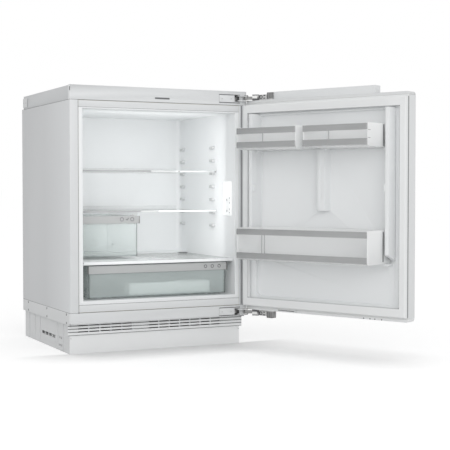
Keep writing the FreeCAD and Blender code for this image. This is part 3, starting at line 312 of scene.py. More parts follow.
def soften(nodeName, width):  # the node's own shape with its edges rounded
    bm = bmesh.new()
    bm.from_mesh(frame["nodes"][nodeName].data)
    bmesh.ops.remove_doubles(bm, verts=bm.verts[:], dist=softLook["weld"])
    if nodeName not in keepTriangles:
        bmesh.ops.dissolve_limit(bm, angle_limit=math.radians(softLook["flat"]), verts=bm.verts[:],
            edges=bm.edges[:])
    mesh = meshFrom(bm, nodeName + "Soft")
    for face in mesh.polygons:
        face.use_smooth = True
    shaping = addObject("shaping", mesh)
    bevel = shaping.modifiers.new("edges", "BEVEL")
    bevel.width = width
    bevel.segments = softLook["steps"]
    bevel.limit_method = "ANGLE"
    bevel.angle_limit = math.radians(softLook["corner"])
    bevel.miter_outer = "MITER_ARC"
    bevel.harden_normals = True
    piece = addPiece(evaluated(shaping), nodeName + "_soft", nodeFinish[nodeName], nodeName,
        sharp=softLook["sharp"])
    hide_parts(nodeName)
    return piece


softPieces = {nodeName: soften(nodeName, width * mm) for nodeName, width in softEdges.items()}
print("edges softened:", len(softEdges))

secondFinish = {  # faces behind (1) or before (-1) a distance in mm from the front plane look different
    "shelf_lower_trims": ("trimClear", 300.0, 1), "shelf_upper_trims": ("trimClear", 300.0, 1),
    "hinge_upper_housing": ("enamelWhite", -0.3, -1), "hinge_lower_housing": ("enamelWhite", -0.3, -1),
    # the casing's front faces keep the front enamel; its other faces take the painted-shade copy
    "casing": ("enamelWhite", 0.3, -1),
}
plateRight = 275.5  # the hinge arms reach past the plate to the right


def addSecondFinish(mesh, finishName, limit, way):
    mesh.materials.append(finish[finishName])
    for face in mesh.polygons:
        y = (face.center.y - fridge["front"]) / mm
        if (y - limit) * way > 0 and (way > 0 or face.center.x < plateRight * mm):
            face.material_index = 1


for nodeName, row in secondFinish.items():
    addSecondFinish(softPieces[nodeName].data, *row)


# Geometry Nodes trees for what repeats
def newTree(name, **inputs):
    tree = bpy.data.node_groups.new(name, "GeometryNodeTree")
    for label, kind in inputs.items():
        tree.interface.new_socket(name=label, in_out="INPUT", socket_type="NodeSocket" + kind)
    tree.interface.new_socket(name="Geometry", in_out="OUTPUT", socket_type="NodeSocketGeometry")
    return tree, tree.nodes.new("NodeGroupInput").outputs


def closeTree(tree, made):  # realize the copies and hand them out
    real = addNode(tree, "GeometryNodeRealizeInstances", {"Geometry": made})
    addNode(tree, "NodeGroupOutput", {"Geometry": real["Geometry"]})
    return tree


def spread(tree, shape, points, turn):  # a copy of the shape on each point
    facing = addNode(tree, "FunctionNodeEulerToRotation", {"Euler": turn})["Rotation"]
    return addNode(tree, "GeometryNodeInstanceOnPoints",
        {"Points": points, "Instance": shape, "Rotation": facing})["Instances"]


def sized(tree, *sides):
    return addNode(tree, "ShaderNodeCombineXYZ", dict(enumerate(sides)))["Vector"]


def makeScrewTree():  # domed head with a cross recess, on each point
    tree, into = newTree("screwTree", Points="Geometry", radius="Float", height="Float", recess="Float",
        turn="Vector")
    radius, height, recess = into["radius"], into["height"], into["recess"]
    crown = addNode(tree, "ShaderNodeMath", {0: radius, 1: 0.7}, operation="MULTIPLY")
    head = addNode(tree, "GeometryNodeMeshCone", {"Vertices": 20, "Radius Bottom": radius,
        "Radius Top": crown[0], "Depth": height})
    cross = tree.nodes.new("GeometryNodeJoinGeometry")
    for sides in ((radius, recess), (recess, radius)):
        bar = addNode(tree, "GeometryNodeMeshCube", {"Size": sized(tree, *sides, height)})
        tree.links.new(bar["Mesh"], cross.inputs["Geometry"])
    lift = addNode(tree, "GeometryNodeTransform", {"Geometry": cross.outputs["Geometry"],
        "Translation": sized(tree, 0, 0, height)})
    carve = addNode(tree, "GeometryNodeMeshBoolean", {"Mesh 1": head["Mesh"],
        "Mesh 2": lift["Geometry"]}, operation="DIFFERENCE")
    return closeTree(tree, spread(tree, carve["Mesh"], into["Points"], into["turn"]))


def makeRowTree():  # blocks in an even row
    tree, into = newTree("rowTree", count="Int", start="Vector", step="Vector", size="Vector", turn="Vector")
    row = addNode(tree, "GeometryNodeMeshLine", {"Count": into["count"], "Start Location": into["start"],
        "Offset": into["step"]})
    slat = addNode(tree, "GeometryNodeMeshCube", {"Size": into["size"]})
    return closeTree(tree, spread(tree, slat["Mesh"], row["Mesh"], into["turn"]))


def swept(tree, curve, radius, sides):  # a round section carried along the curve
    section = addNode(tree, "GeometryNodeCurvePrimitiveCircle", {"Resolution": sides, "Radius": radius})
    return addNode(tree, "GeometryNodeCurveToMesh", {"Curve": curve, "Profile Curve": section["Curve"],
        "Fill Caps": True})["Mesh"]


def makeSpringTree():  # a wire wound round each point
    tree, into = newTree("springTree", Points="Geometry", turns="Float", radius="Float", height="Float",
        wire="Float", turn="Vector")
    spiral = addNode(tree, "GeometryNodeCurveSpiral",
        {"Resolution": 14, "Rotations": into["turns"], "Start Radius": into["radius"],
         "End Radius": into["radius"], "Height": into["height"]})
    wound = swept(tree, spiral["Curve"], into["wire"], 6)
    return closeTree(tree, spread(tree, wound, into["Points"], into["turn"]))


def makeTubeTree():  # a round tube along a line of points, bent at its corners
    tree, into = newTree("tubeTree", Route="Geometry", radius="Float", bend="Float")
    route = addNode(tree, "GeometryNodeMeshToCurve", {"Mesh": into["Route"]})
    bends = addNode(tree, "GeometryNodeFilletCurve", {"Curve": route["Curve"], "Radius": into["bend"],
        "Count": 8}, mode="POLY")
    return closeTree(tree, swept(tree, bends["Curve"], into["radius"], 14))


trees = {"screw": makeScrewTree(), "row": makeRowTree(), "spring": makeSpringTree(), "tube": makeTubeTree()}
print("node trees made:", len(trees))


def grow(treeName, values, points=(), edges=()):  # the tree's result as a plain mesh
    mesh = bpy.data.meshes.new(treeName + "Points")
    mesh.from_pydata([tuple(point) for point in points], list(edges), [])
    host = addObject(treeName + "Host", mesh)
    modifier = host.modifiers.new("grow", "NODES")
    modifier.node_group = trees[treeName]
    for item in trees[treeName].interface.items_tree:
        if item.item_type == "SOCKET" and item.in_out == "INPUT" and item.name in values:
            modifier[item.identifier] = values[item.name]
    return evaluated(host)


def growScrews(points, radius, height, recess, turn):  # lengths in mm, turn in degrees
    return grow("screw", {"radius": radius * mm, "height": height * mm, "recess": recess * mm,
        "turn": tuple(math.radians(angle) for angle in turn)}, points)


def growSpring(points, turns, radius, height, wire):  # lengths in mm
    return grow("spring", {"turns": turns, "radius": radius * mm, "height": height * mm, "wire": wire * mm},
        points)


def growTube(points, radius, bend):  # lengths in mm
    steps = [(number, number + 1) for number in range(len(points) - 1)]
    return grow("tube", {"radius": radius * mm, "bend": bend * mm}, points, steps)


def merge(meshes, name):  # several plain meshes as one
    bm = bmesh.new()
    for mesh in meshes:
        bm.from_mesh(mesh)
        bpy.data.meshes.remove(mesh)
    return meshFrom(bm, name)


def addRing(bm, centre, across, up, radius, width, height):  # a flat ring that stands proud
    facing = across.cross(up)
    steps = 28
    rows = []
    for number in range(steps):
        turn = 2 * math.pi * number / steps
        way = across * math.cos(turn) + up * math.sin(turn)
        rows.append([bm.verts.new(centre + way * (radius + side * width / 2) + facing * lift)
            for side, lift in ((1, 0), (1, height), (-1, height), (-1, 0))])
    for row, following in zip(rows, rows[1:] + rows[:1]):
        for corner in range(4):
            bm.faces.new((row[corner], row[corner - 1], following[corner - 1], following[corner]))


def addTick(bm, centre, across, up, size, width, height):  # two short strokes that meet low
    facing = across.cross(up)
    low = centre - up * size * 0.5 - across * size * 0.15
    for sideways, high in ((-0.75, 0.1), (0.8, 0.75)):
        end = centre + across * size * sideways + up * size * high
        run = (end - low).normalized()
        side = facing.cross(run) * width / 2
        corners = [low - side, end - side, end + side, low + side]
        base = [bm.verts.new(corner) for corner in corners]
        top = [bm.verts.new(corner + facing * height) for corner in corners]
        bm.faces.new(top)
        bm.faces.new(base[::-1])
        for number in range(4):
            bm.faces.new((base[number - 1], base[number], top[number], top[number - 1]))


# painted shade: dark strips laid in the joints of the front frame and the side sheets, where the gaps lie in
# shadow
jointShadeLines = {
    "half": 0.45, "depths": (-0.10, 0.8),
    "uprights": [((-272.45, -271.55), (129.6, 774.9)), ((278.6, 281.8), (131.0, 774.0))],
    "levels": [((-298.3, 298.3), 775.3), ((-271.6, 271.6), 753.9), ((-271.6, 271.6), 152.8),
        ((-298.3, 298.3), 129.1)],
    "corner": ((-274.0, -270.0), (-0.2, 0.8), (128.0, 131.0), 0.0004),
    "notch": ((-298.6, -296.9), (-0.10, 3.0), (802.0, 814.0), 0.0003),
    "sides": ((-298.6, -297.6), (298.6, 297.6)), "sideDepths": (0, 514), "sideLevels": (775.3, 129.0),
}


def makeJointShadeLines():
    look, half = jointShadeLines, jointShadeLines["half"]
    blocks = [(across, look["depths"], heights) for across, heights in look["uprights"]]
    blocks += [(across, look["depths"], around(z, half)) for across, z in look["levels"]]
    blocks += [look["corner"], look["notch"]]
    for z in look["sideLevels"]:
        blocks += [(across, look["sideDepths"], around(z, half)) for across in look["sides"]]
    addBlocks("jointShadeLines", "gapShadeGrey", "bracket_screws", bodyPoint, blocks, body="cabinet")


makeJointShadeLines()

recess = 0.32  # width of a head's cross, by its radius
bodyScrews = {  # middles in body lengths, radius, height, turn of the head, finish, recess
    "sideScrews": ([(-297.7, y, z) for z in (122.5, 96.5) for y in (452, 241, 40)],
        5.2, 0.9, (0, -90, 0), "darkPlasticAndShade", 0.1),
    "sideScrewsRight": ([(297.7, y, 122.5) for y in (452, 241, 40)],
        3.4, 0.9, (0, 90, 0), "darkPlasticAndShade", recess),
    "plinthScrews": ([(x, 34, 48) for x in (-286.5, 286.5)], 2.6, 0.8, (90, 0, 0), "darkPlasticAndShade", recess),
    "rearScrews": ([(x, 514.7, z) for x in (-288, -96, 96, 288) for z in (270, 766)]
        + [(x, 514.7, 518) for x in (-288, 288)], 3.8, 0.9, (-90, 0, 0), "hingeNickel", recess),
    "coverScrews": ([(x, y, 819.3) for x in (-270, 270) for y in (60, 470)],
        4.2, 0.8, (0, 0, 0), "darkPlasticAndShade", recess),
    "endScrews": ([(-297.9, y, 796) for y in (472, 496)], 2.8, 0.6, (0, -90, 0), "darkPlasticAndShade", recess),
    "endScrewsRight": ([(297.9, y, 796) for y in (472, 496)], 2.8, 0.6, (0, 90, 0), "darkPlasticAndShade", recess),
    "hingePlateScrews": ([(x, -0.6, z) for x in (211, 243) for z in (795.5, 109.7)],
        3.6, 0.7, (90, 0, 0), "hingeNickel", recess),
    "potScrews": ([(-40 + x, 466 + y, 20) for x in (-66, 66) for y in (-21, 21)],
        4.5, 4.0, (0, 0, 0), "zincSheet", recess),
    "boxScrew": ([(30, 466, 71)], 3.0, 1.6, (0, 90, 0), "zincSheet", recess),
}
for name, (middles, radius, height, turn, finishName, share) in bodyScrews.items():
    heads = growScrews([bodyPoint(*middle) for middle in middles], radius, height, radius * share, turn)
    addPiece(heads, name, finishName, "bracket_screws", body="cabinet")

# slanted louvres and a dark screen behind the ventilation slots; dark strips of painted shade along each slot
# row and along the joint below them
grille = {
    "count": 3, "first": 67.7, "pitch": 9.6, "width": 577.0, "thick": 0.8, "deep": 8.0, "tilt": 28.0,
    "drop": 0.6, "setBack": 38.2, "screen": ((43.0, 44.2), (60.0, 95.4)), "depths": (30.3, 31.2), "half": 1.1,
    "lines": ((-297.0, -264.4), (-86.6, -31.4), (218.4, 297.0)),
    "joint": ((-297.0, 297.0), (29.9, 31.0), (57.3, 59.0)),
}


def makeGrille():
    look = grille
    start = bodyPoint(0, look["setBack"], look["first"] - look["drop"])
    size = [side * mm for side in (look["width"], look["deep"], look["thick"])]
    louvres = grow("row", {"count": look["count"], "start": start, "step": (0, 0, look["pitch"] * mm),
        "size": size, "turn": (math.radians(look["tilt"]), 0, 0)})
    addPiece(louvres, "grilleLouvres", "darkPlasticAndShade", "vent_grille")
    screen = (around(0, look["width"] / 2), *look["screen"])
    addBlocks("grilleScreen", "darkPlasticAndShade", "vent_grille", bodyPoint, [screen])
    heights = [look["first"] + row * look["pitch"] for row in range(look["count"])]
    lines = [(ends, look["depths"], around(z, look["half"])) for z in heights for ends in look["lines"]]
    addBlocks("grilleShadeLines", "seamShadeGrey", "vent_grille", bodyPoint, lines + [look["joint"]])


makeGrille()
print("front frame, screws and grille dressed")

# plain marks on the drawer rails, their knobs and end caps
railMarks = {
    "half_drawer": {"node": "half_drawer_rail", "front": 121.5, "z": 408.5, "marks": (-86.0, -67.5, -50.5),
        "tick": 1, "radius": 5.6, "knob": (-50.5, 419.0)},
    "large_drawer": {"node": "drawer_rail", "front": 16.5, "z": 257.5, "marks": (160.0, 184.0, 208.5),
        "tick": None, "radius": 4.6, "knob": (207.0, 269.0)},
}
markLook = {"line": 2.0, "tickLine": 2.4, "proud": 0.25, "knobWide": 7.0, "knobHigh": 4.0,
    "knobDepths": (0.5, 7.0), "knobEdge": 0.0028, "capWide": 0.003,
    "capProud": 0.0002, "capDeep": 0.0045, "capEdge": 0.0005}


def makeRailMarks(name, row):
    look, node = markLook, row["node"]
    ink = bmesh.new()
    for number, x in enumerate(row["marks"]):
        sign, line = (addTick, look["tickLine"]) if number == row["tick"] else (addRing, look["line"])
        sign(ink, bodyPoint(x, row["front"], row["z"]), right, upward, row["radius"] * mm, line * mm,
            look["proud"] * mm)
    addPiece(ink, name + "_marks", "darkPlasticAndShade", node)
    x, z = row["knob"]
    depths = [row["front"] + depth for depth in look["knobDepths"]]
    knob = (around(x, look["knobWide"]), depths, around(z, look["knobHigh"]), look["knobEdge"], 4)
    addBlocks(name + "_knob", "railGrey", node, bodyPoint, [knob])
    low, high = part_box(row["node"])
    wide, proud = look["capWide"], look["capProud"]
    caps = [((side - proud, side + wide + proud), (low[1] - proud, low[1] + look["capDeep"]),
        (low[2] - proud, high[2] + proud), look["capEdge"]) for side in (low[0], high[0] - wide)]
    addBlocks(name + "_caps", "capGrey", node, rowPoint, caps)


for name, row in railMarks.items():
    makeRailMarks(name, row)

# the thick edges of the clear boxes look dark; the raised floor step gets a faint painted glow and painted
# shade along its upper and left edges
boxEdges = {"half_drawer": {"node": "half_drawer_box", "rim": 0.005, "thick": 0.0018},
    "large_drawer": {"node": "drawer_box", "rim": 0.004, "thick": 0.002}}
boxLook = {"proud": 0.00004, "rear": 0.0003, "edge": 0.0006, "thin": 0.8, "high": 0.9,
    "lift": 0.0001}  # clear of the runners under the box


def makeBoxEdges(name, row):
    look, thick, edge, proud = boxLook, row["thick"], boxLook["edge"], boxLook["proud"]
    thin = thick * look["thin"]
    low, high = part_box(row["node"])
    walls = [low[0] + row["rim"], high[0] - row["rim"]]
    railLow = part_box(railMarks[name]["node"])[0][2]
    floor, front, rear = low[2] + look["lift"], low[1] - proud, high[1] - look["rear"]
    blocks = []
    for x, way in zip(walls, (1, -1)):
        wall = (x - way * proud, x + way * thick)
        blocks += [(wall, (y, y + thick), (floor, railLow), edge) for y in (front, rear - thick)]
        blocks.append((wall, (front, rear), (floor, floor + thin), edge))
    blocks += [(walls, ends, (floor, floor + thick * look["high"]), edge)
        for ends in ((front, front + thin), (rear - thin, rear))]
    addBlocks(name + "_edges", "edgeGreen", row["node"], rowPoint, blocks)


for name, row in boxEdges.items():
    makeBoxEdges(name, row)

# painted shade: dark strips along the step's upper and left edges
drawerStep = {"block": ((-95.5, 187.5), (39.5, 80.0), (172.8, 211.6), 0.005, 4),
    "rim": [((-93.5, 60.0), (41.5, 45.5), (210.8, 213.8), 0.0004),  # over its upper edge
        ((-97.0, -94.0), (41.5, 45.5), (176.8, 209.6), 0.0004)]}  # and its left one
addBlocks("drawer_step", "frostClear", "drawer_box", bodyPoint, [drawerStep["block"]])
addBlocks("drawer_step_shade", "capGrey", "drawer_box", bodyPoint, drawerStep["rim"])
print("drawers dressed")

# painted shade and reflection: the shelves' front strips run from grey on the left to white on the right,
# where the light unit's reflection is painted
shelfFrontShadeAndSheen = {  # each stretch: its ends in mm and its finish
    "shelf_upper": [(-253.3, 20.0, "shelfShade"), (20.0, 106.0, "shelfMid"), (106.0, 253.3, "ribShade")],
    "shelf_lower": [(-253.3, -17.0, "shelfShade"), (-17.0, 46.0, "shelfMid"), (46.0, 253.3, "linerWhite")],
}
shelfLook = {"depths": (130.65, 131.2), "heights": (0.3, 5.4), "edge": 0.00012,
    "dots": (118.0, 250.5), "dot": 2.6,
    "dotDepths": (130.55, 131.2), "dotHeights": (1.0, 4.0), "dotEdge": 0.0003}


def makeShelfFrontShadeAndSheen(name, stretches):
    look, node = shelfLook, name + "_trims"
    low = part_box(node)[0][2] / mm
    heights, dotHeights = [[low + height for height in look[label]] for label in ("heights", "dotHeights")]
    for number, (start, end, finishName) in enumerate(stretches):
        addBlocks("%s_front_%d" % (name, number), finishName, node, bodyPoint,
            [((start, end), look["depths"], heights, look["edge"])])
    if name == "shelf_upper":
        dots = [(around(x, look["dot"]), look["dotDepths"], dotHeights, look["dotEdge"]) for x in look["dots"]]
        addBlocks("shelf_upper_dots", "capGrey", node, bodyPoint, dots)


for name, stretches in shelfFrontShadeAndSheen.items():
    makeShelfFrontShadeAndSheen(name, stretches)

# light unit: small plain rings beside the buttons
unitDots = {"face": 255.0, "y": 34.6, "heights": (476.0, 460.0, 440.0, 428.0), "radius": 0.0013,
    "line": 0.0014, "proud": 0.0003}
ink = bmesh.new()
for z in unitDots["heights"]:
    addRing(ink, bodyPoint(unitDots["face"], unitDots["y"], z), -back, upward, unitDots["radius"],
        unitDots["line"], unitDots["proud"])
addPiece(ink, "unitDots", "markGrey", "control_buttons")

# painted shade: grey lines in the door seal's groove, and dark strips in the gap behind the seal
sealLook = {
    "s": (20.0, 577.0), "z": (155.0, 749.3), "line": 1.5, "depths": (-0.6, 0.04),
    "dot": 3.2, "dotDepths": (-0.6, 0.06), "dotEdge": 0.0008,
    "corner": ((20.0, 21.8), (-0.6, 0.06), (725.3, 749.3)),
    "gapEnds": (1.5, 595.5), "gap": (-16.9, -13.05), "gapHeights": ((129.0, 130.0), (774.3, 775.3)),
    "free": ((586.0, 596.9), (-16.9, -13.05), (129.0, 775.3)),
    "edge": ((595.9, 596.9), (-19.0, -16.8), (129.0, 775.3)),
}


def makeSealLines():
    look, line, dot = sealLook, sealLook["line"], sealLook["dot"]
    (near, far), (low, high) = look["s"], look["z"]
    loop = (((near, near + line), (low, high)), ((far - line, far), (low, high)),
        ((near, far), (low, low + line)), ((near, far), (high - line, high)))
    addBlocks("seal_lines", "channelGrey", "door_seal", doorPoint,
        [(across, look["depths"], heights) for across, heights in loop])
    corners = ((far - dot, high - dot), (far - dot, low), (near, low), (near, high - dot))
    blocks = [((s, s + dot), look["dotDepths"], (z, z + dot), look["dotEdge"]) for s, z in corners]
    blocks += [look["corner"]] + [(look["gapEnds"], look["gap"], heights) for heights in look["gapHeights"]]
    addBlocks("seal_gap", "sealGapShade", "door_seal", doorPoint, blocks + [look["free"], look["edge"]])


makeSealLines()

# the slot (a dark strip of painted shade), clips and knob of the door's bottom cap
capLook = {"slot": ((128.0, 192.0), (-19.6, -18.8), (118.4, 121.0), 0.0004),
    "clips": (446.0, 468.0, 485.0, 508.0), "clipHalf": 1.6,
    "clip": ((-19.6, -18.7), (115.4, 119.4), 0.0003),
    "knob": ((196.0, 202.0), (-19.6, -17.0), (116.6, 122.6), 0.0012, 3)}
clips = [(around(s, capLook["clipHalf"]), *capLook["clip"]) for s in capLook["clips"]]
addBlocks("door_edge_lines", "gapShadeGrey", "bracket_screws", doorPoint, [capLook["slot"]] + clips)
addBlocks("cap_knob", "mattWhite", "door_cap_bottom", doorPoint, [capLook["knob"]])

# posts between the rack bars, and painted shade in the gap at the free end with its two catches
rackLook = {
    "rack_upper_left": {"posts": (158.0,), "heights": (651.0, 676.0), "seam": (), "catches": ()},
    "rack_upper_right": {"posts": (399.0,), "heights": (651.0, 676.0), "seam": (631.0, 694.0),
        "catches": (652.0, 675.0)},
    "rack_lower": {"posts": (155.0, 166.0), "heights": (308.0, 364.0), "seam": (292.0, 380.0), "catches": ()},
}
rackLine = {"half": 0.65, "post": (102.0, 104.75), "seam": ((532.4, 533.5), (14.0, 19.5)),
    "catch": ((532.4, 533.4), (90.0, 103.5)), "catchHigh": 1.2, "edge": 0.0002}


def makeRackLines(name, row):
    look, tray, edge = rackLine, name + "_tray", rackLine["edge"]
    posts = [(around(s, look["half"]), look["post"], row["heights"], edge) for s in row["posts"]]
    addBlocks(name + "_posts", "channelGrey", tray, doorPoint, posts)
    if row["seam"]:
        blocks = [(*look["seam"], row["seam"], edge)]
        blocks += [(*look["catch"], (z, z + look["catchHigh"]), edge) for z in row["catches"]]
        addBlocks(name + "_seam", "seamShadeGrey", tray, doorPoint, blocks)


for name, row in rackLook.items():
    makeRackLines(name, row)

# moulded ledges where a rack can hang at another height
spareLedges = {"ledge_free": ((536.5, 542.0), (6.0, 21.0), (497.0, 520.0), 0.0016, 3),
    "ledge_hinge": ((55.0, 60.5), (6.0, 21.0), (497.0, 520.0), 0.0016, 3)}
for name, block in spareLedges.items():
    addBlocks(name, "doorWhite", "door_liner", doorPoint, [block])
print("door dressed")

# hinges: dark linings in the mouths and dark plate edge lines, painted shade over the mechanism inside; link
# cover, channel bracket, stop block, springs and rivets
hingeLook = {  # lengths s, d and heights outwards from the door cap
    "mouth": (256.0, 273.0, 34.5), "mouthSpan": (-3.5, 16.5), "plateSpan": (-7.5, 17.5), "lining": 0.3,
    "plate": ((201.0, 275.0), (-0.66, 1.0)), "line": 2.4, "cap": 6.5, "capSpan": (12.8, 17.0),
    "cover": (24.7, -20.4, 42.2, -30.1), "coverHalf": 5.6, "coverSpan": (6.6, 18.6), "coverEdge": 3.0,
    "coverGrown": 1.08, "eye": (57.5, 10.2), "eyeRing": (0.0050, 0.0026, 0.0004), "proud": 0.2,
    "wallEdge": 0.0009, "dotEdge": 0.001, "footEdge": 0.0008, "stopEdge": 0.0012,
    "walls": (50.5, 80.0), "wallFaces": ((-24.3, -22.1), (-43.9, -41.7)), "wallSpan": (2.5, 17.5),
    "dots": (66.5, 75.5), "dotSpans": ((3.5, 8.0), (11.8, 17.0)),
    "crescent": ((48.5, 52.6), (4.5, 15.5)), "foot": ((30.0, 50.0), (-30.0, -21.6)), "footSpan": (0.3, 6.4),
    "stop": ((80.3, 103.2), (-44.3, -21.8)), "stopSpan": (2.5, 23.4), "stopLines": (83.0, 92.5, 101.0),
    "stopLine": 1.3, "rivet": (42.0, -30.0, 15.0), "rivetHead": (4.4, 1.2, 0.6),
    "spring": (264.0, 25.0, 1.0), "coil": {"turns": 6.0, "radius": 4.6, "height": 11.0, "wire": 0.7},
}


def hingeHeight(side, offset):  # heights mirror about the middle of the door
    return 790.5 + offset if side > 0 else 114.7 - offset


def hingeSpan(side, span):
    return sorted(hingeHeight(side, offset) for offset in span)


def addPrism(bm, outline, heights):  # an upright prism on a line of door points
    low, high = [[bm.verts.new(doorPoint(s, d, z)) for s, d in outline] for z in heights]
    bm.faces.new(low)
    bm.faces.new(high[::-1])
    for number in range(len(outline)):
        bm.faces.new((low[number - 1], high[number - 1], high[number], low[number]))


def makeHingeMouths():
    look, lining, half = hingeLook, hingeLook["lining"], hingeLook["line"] / 2
    x0, x1, deep = look["mouth"]
    depths = (look["plate"][1][1], deep)
    bm = bmesh.new()
    for side in (1, -1):
        z0, z1 = hingeSpan(side, look["mouthSpan"])
        # painted shade: a dark lining inside each mouth and dark lines along the plate's edges
        addBlock(bm, bodyPoint, (x0, x1), (deep - lining, deep), (z0, z1))
        for across in ((x0, x0 + lining), (x1 - lining, x1)):
            addBlock(bm, bodyPoint, across, depths, (z0, z1))
        for heights in ((z0, z0 + lining), (z1 - lining, z1)):
            addBlock(bm, bodyPoint, (x0, x1), depths, heights)
        for offset in look["plateSpan"]:
            addBlock(bm, bodyPoint, *look["plate"], around(hingeHeight(side, offset), half))
        z0, z1 = hingeSpan(side, look["capSpan"])  # dark caps round the pins
        made = bmesh.ops.create_cone(bm, cap_ends=True, segments=28, radius1=look["cap"] * mm,
            radius2=look["cap"] * mm, depth=(z1 - z0) * mm)
        bmesh.ops.translate(bm, verts=made["verts"], vec=(*fridge["hingePin"], (z0 + z1) / 2 * mm))
    addPiece(bm, "hinge_mouths", "darkPlasticAndShade", "bracket_screws", body="cabinet")


def makeHingeBrackets():
    look = hingeLook
    pale, dark, grey = bmesh.new(), bmesh.new(), bmesh.new()
    s0, d0, s1, d1 = look["cover"]
    run = Vector((s1 - s0, d1 - d0)).normalized()
    aside = Vector((-run.y, run.x)) * look["coverHalf"]
    outline = [(s0 - aside.x, d0 - aside.y), (s1 - aside.x, d1 - aside.y),
        (s1 + aside.x, d1 + aside.y), (s0 + aside.x, d0 + aside.y)]
    grown = [(s0 + (s - s0) * look["coverGrown"], d0 + (d - d0) * look["coverGrown"]) for s, d in outline]
    face, proud = look["wallFaces"][0][1], look["proud"]
    along = (doorPoint(0, 0, 0) - doorPoint(1, 0, 0)).normalized()
    for side in (1, -1):
        low, high = look["coverSpan"]
        addPrism(pale, outline, hingeSpan(side, (low, high)))
        addPrism(dark, grown, hingeSpan(side, (high - look["coverEdge"], high + proud)))
        addPrism(dark, grown, hingeSpan(side, (look["footSpan"][0], low)))
        for depths in look["wallFaces"]:
            heights = hingeSpan(side, look["wallSpan"])
            addBlock(pale, doorPoint, look["walls"], depths, heights, look["wallEdge"])
        for span in look["dotSpans"]:
            heights = hingeSpan(side, span)
            addBlock(dark, doorPoint, look["dots"], (face - 1, face + proud), heights, look["dotEdge"])
        s, offset = look["eye"]
        addRing(dark, doorPoint(s, face, hingeHeight(side, offset)), along, -upward, *look["eyeRing"])
        across, span = look["crescent"]
        addBlock(dark, doorPoint, across, (face - 1, face + 0.3), hingeSpan(side, span), look["footEdge"])
        addBlock(dark, doorPoint, *look["foot"], hingeSpan(side, look["footSpan"]), look["footEdge"])
        z0, z1 = hingeSpan(side, look["stopSpan"])
        addBlock(grey, doorPoint, *look["stop"], (z0, z1), look["stopEdge"])
        depths = (look["stop"][1][1] - 1, look["stop"][1][1] + proud)
        for s in look["stopLines"]:
            addBlock(dark, doorPoint, (s, s + look["stopLine"]), depths, (z0 + 1, z1 - 1))
    addPiece(pale, "hinge_covers", "hingeNickel", "hinge_links", turn=doorTurn)
    addPiece(grey, "hinge_stops", "stopGrey", "hinge_brackets", turn=doorTurn)
    addPiece(dark, "hinge_dark_parts", "darkPlasticAndShade", "bracket_screws", turn=doorTurn)


def makeHingeSprings():
    look = hingeLook
    x, y, offset = look["spring"]
    span = (offset, offset + look["coil"]["height"])
    points = [bodyPoint(x, y, min(hingeSpan(side, span))) for side in (1, -1)]
    addPiece(growSpring(points, **look["coil"]), "hinge_springs", "hingeNickel", "hinge_pins", sharp=60)
    s, d, top = look["rivet"]
    rivets = [growScrews([doorPoint(s, d, hingeHeight(side, top))], *look["rivetHead"], (tip, 0, 0))
        for side, tip in ((1, 0.0), (-1, 180.0))]
    rivets = merge(rivets, "hingeRivets")
    addPiece(rivets, "hinge_rivets", "hingeNickel", "hinge_pins", body="door", turn=doorTurn)


makeHingeMouths()
makeHingeBrackets()
makeHingeSprings()

# screws of the rail on top of the door
railScrews = {"s": (140.0, 300.0, 440.0), "depth": -43.0, "floor": 792.5, "head": (4.6, 1.6, 1.4)}
heads = growScrews([doorPoint(s, railScrews["depth"], railScrews["floor"]) for s in railScrews["s"]],
    *railScrews["head"], (0, 0, 0))
addPiece(heads, "rail_screws", "hingeNickel", "bracket_screws", turn=doorTurn)
print("hinges and rail dressed")

# cooling parts at the back
potLook = {"x": -40.0, "y": 466.0, "low": 20.0, "radius": 45.9, "foot": 44.0, "footHigh": 2.0, "top": 135.9,
    "crownLow": 110.0, "crownPower": 0.8, "seam": 76.0, "seamHalf": 3.0, "seamProud": 1.9, "seamSlope": 0.6,
    "steps": 56, "crownSteps": 8, "plate": ((-115, 35), (436, 496), (18, 20), 0.0007),
    "stubs": ((-70, 440, 112), (-52, 428, 62)),
    "stub": {"segments": 16, "radius1": 0.0034, "radius2": 0.0026, "depth": 0.012}}


def makePot():
    look, radius, seam = potLook, potLook["radius"], potLook["seam"]
    half, slope = look["seamHalf"], look["seamSlope"]
    wide = radius + look["seamProud"]
    outline = [(0.0, look["low"]), (look["foot"], look["low"]), (radius, look["low"] + look["footHigh"]),
        (radius, seam - half), (wide, seam - half + slope), (wide, seam + half - slope),
        (radius, seam + half)]
    for step in range(look["crownSteps"] + 1):
        turn = math.pi / 2 * step / look["crownSteps"]
        wide = radius * math.cos(turn) ** look["crownPower"] if step < look["crownSteps"] else 0.0
        outline.append((wide, look["crownLow"] + (look["top"] - look["crownLow"]) * math.sin(turn)))
    bm = bmesh.new()
    loops = []
    for r, z in outline:
        turns = [2 * math.pi * number / look["steps"] for number in range(look["steps"] if r else 1)]
        loops.append([bm.verts.new(bodyPoint(look["x"] + r * math.cos(t), look["y"] + r * math.sin(t), z))
            for t in turns])
    for low, high in zip(loops, loops[1:]):
        for number in range(look["steps"]):
            ring = [low[number - 1 if len(low) > 1 else 0], low[number if len(low) > 1 else 0],
                high[number if len(high) > 1 else 0], high[number - 1 if len(high) > 1 else 0]]
            bm.faces.new(list(dict.fromkeys(ring)))
    addBlock(bm, bodyPoint, *look["plate"])
    for stub in look["stubs"]:  # short stubs of the filling tubes
        made = bmesh.ops.create_cone(bm, cap_ends=True, **look["stub"])
        place = Matrix.Translation(bodyPoint(*stub)) @ Matrix.Rotation(math.pi / 2, 4, "X")
        bmesh.ops.transform(bm, matrix=place, verts=made["verts"])
    piece = addPiece(bm, "compressor_pot", "blackEnamel", "compressor", sharp=40)
    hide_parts("compressor")


makePot()

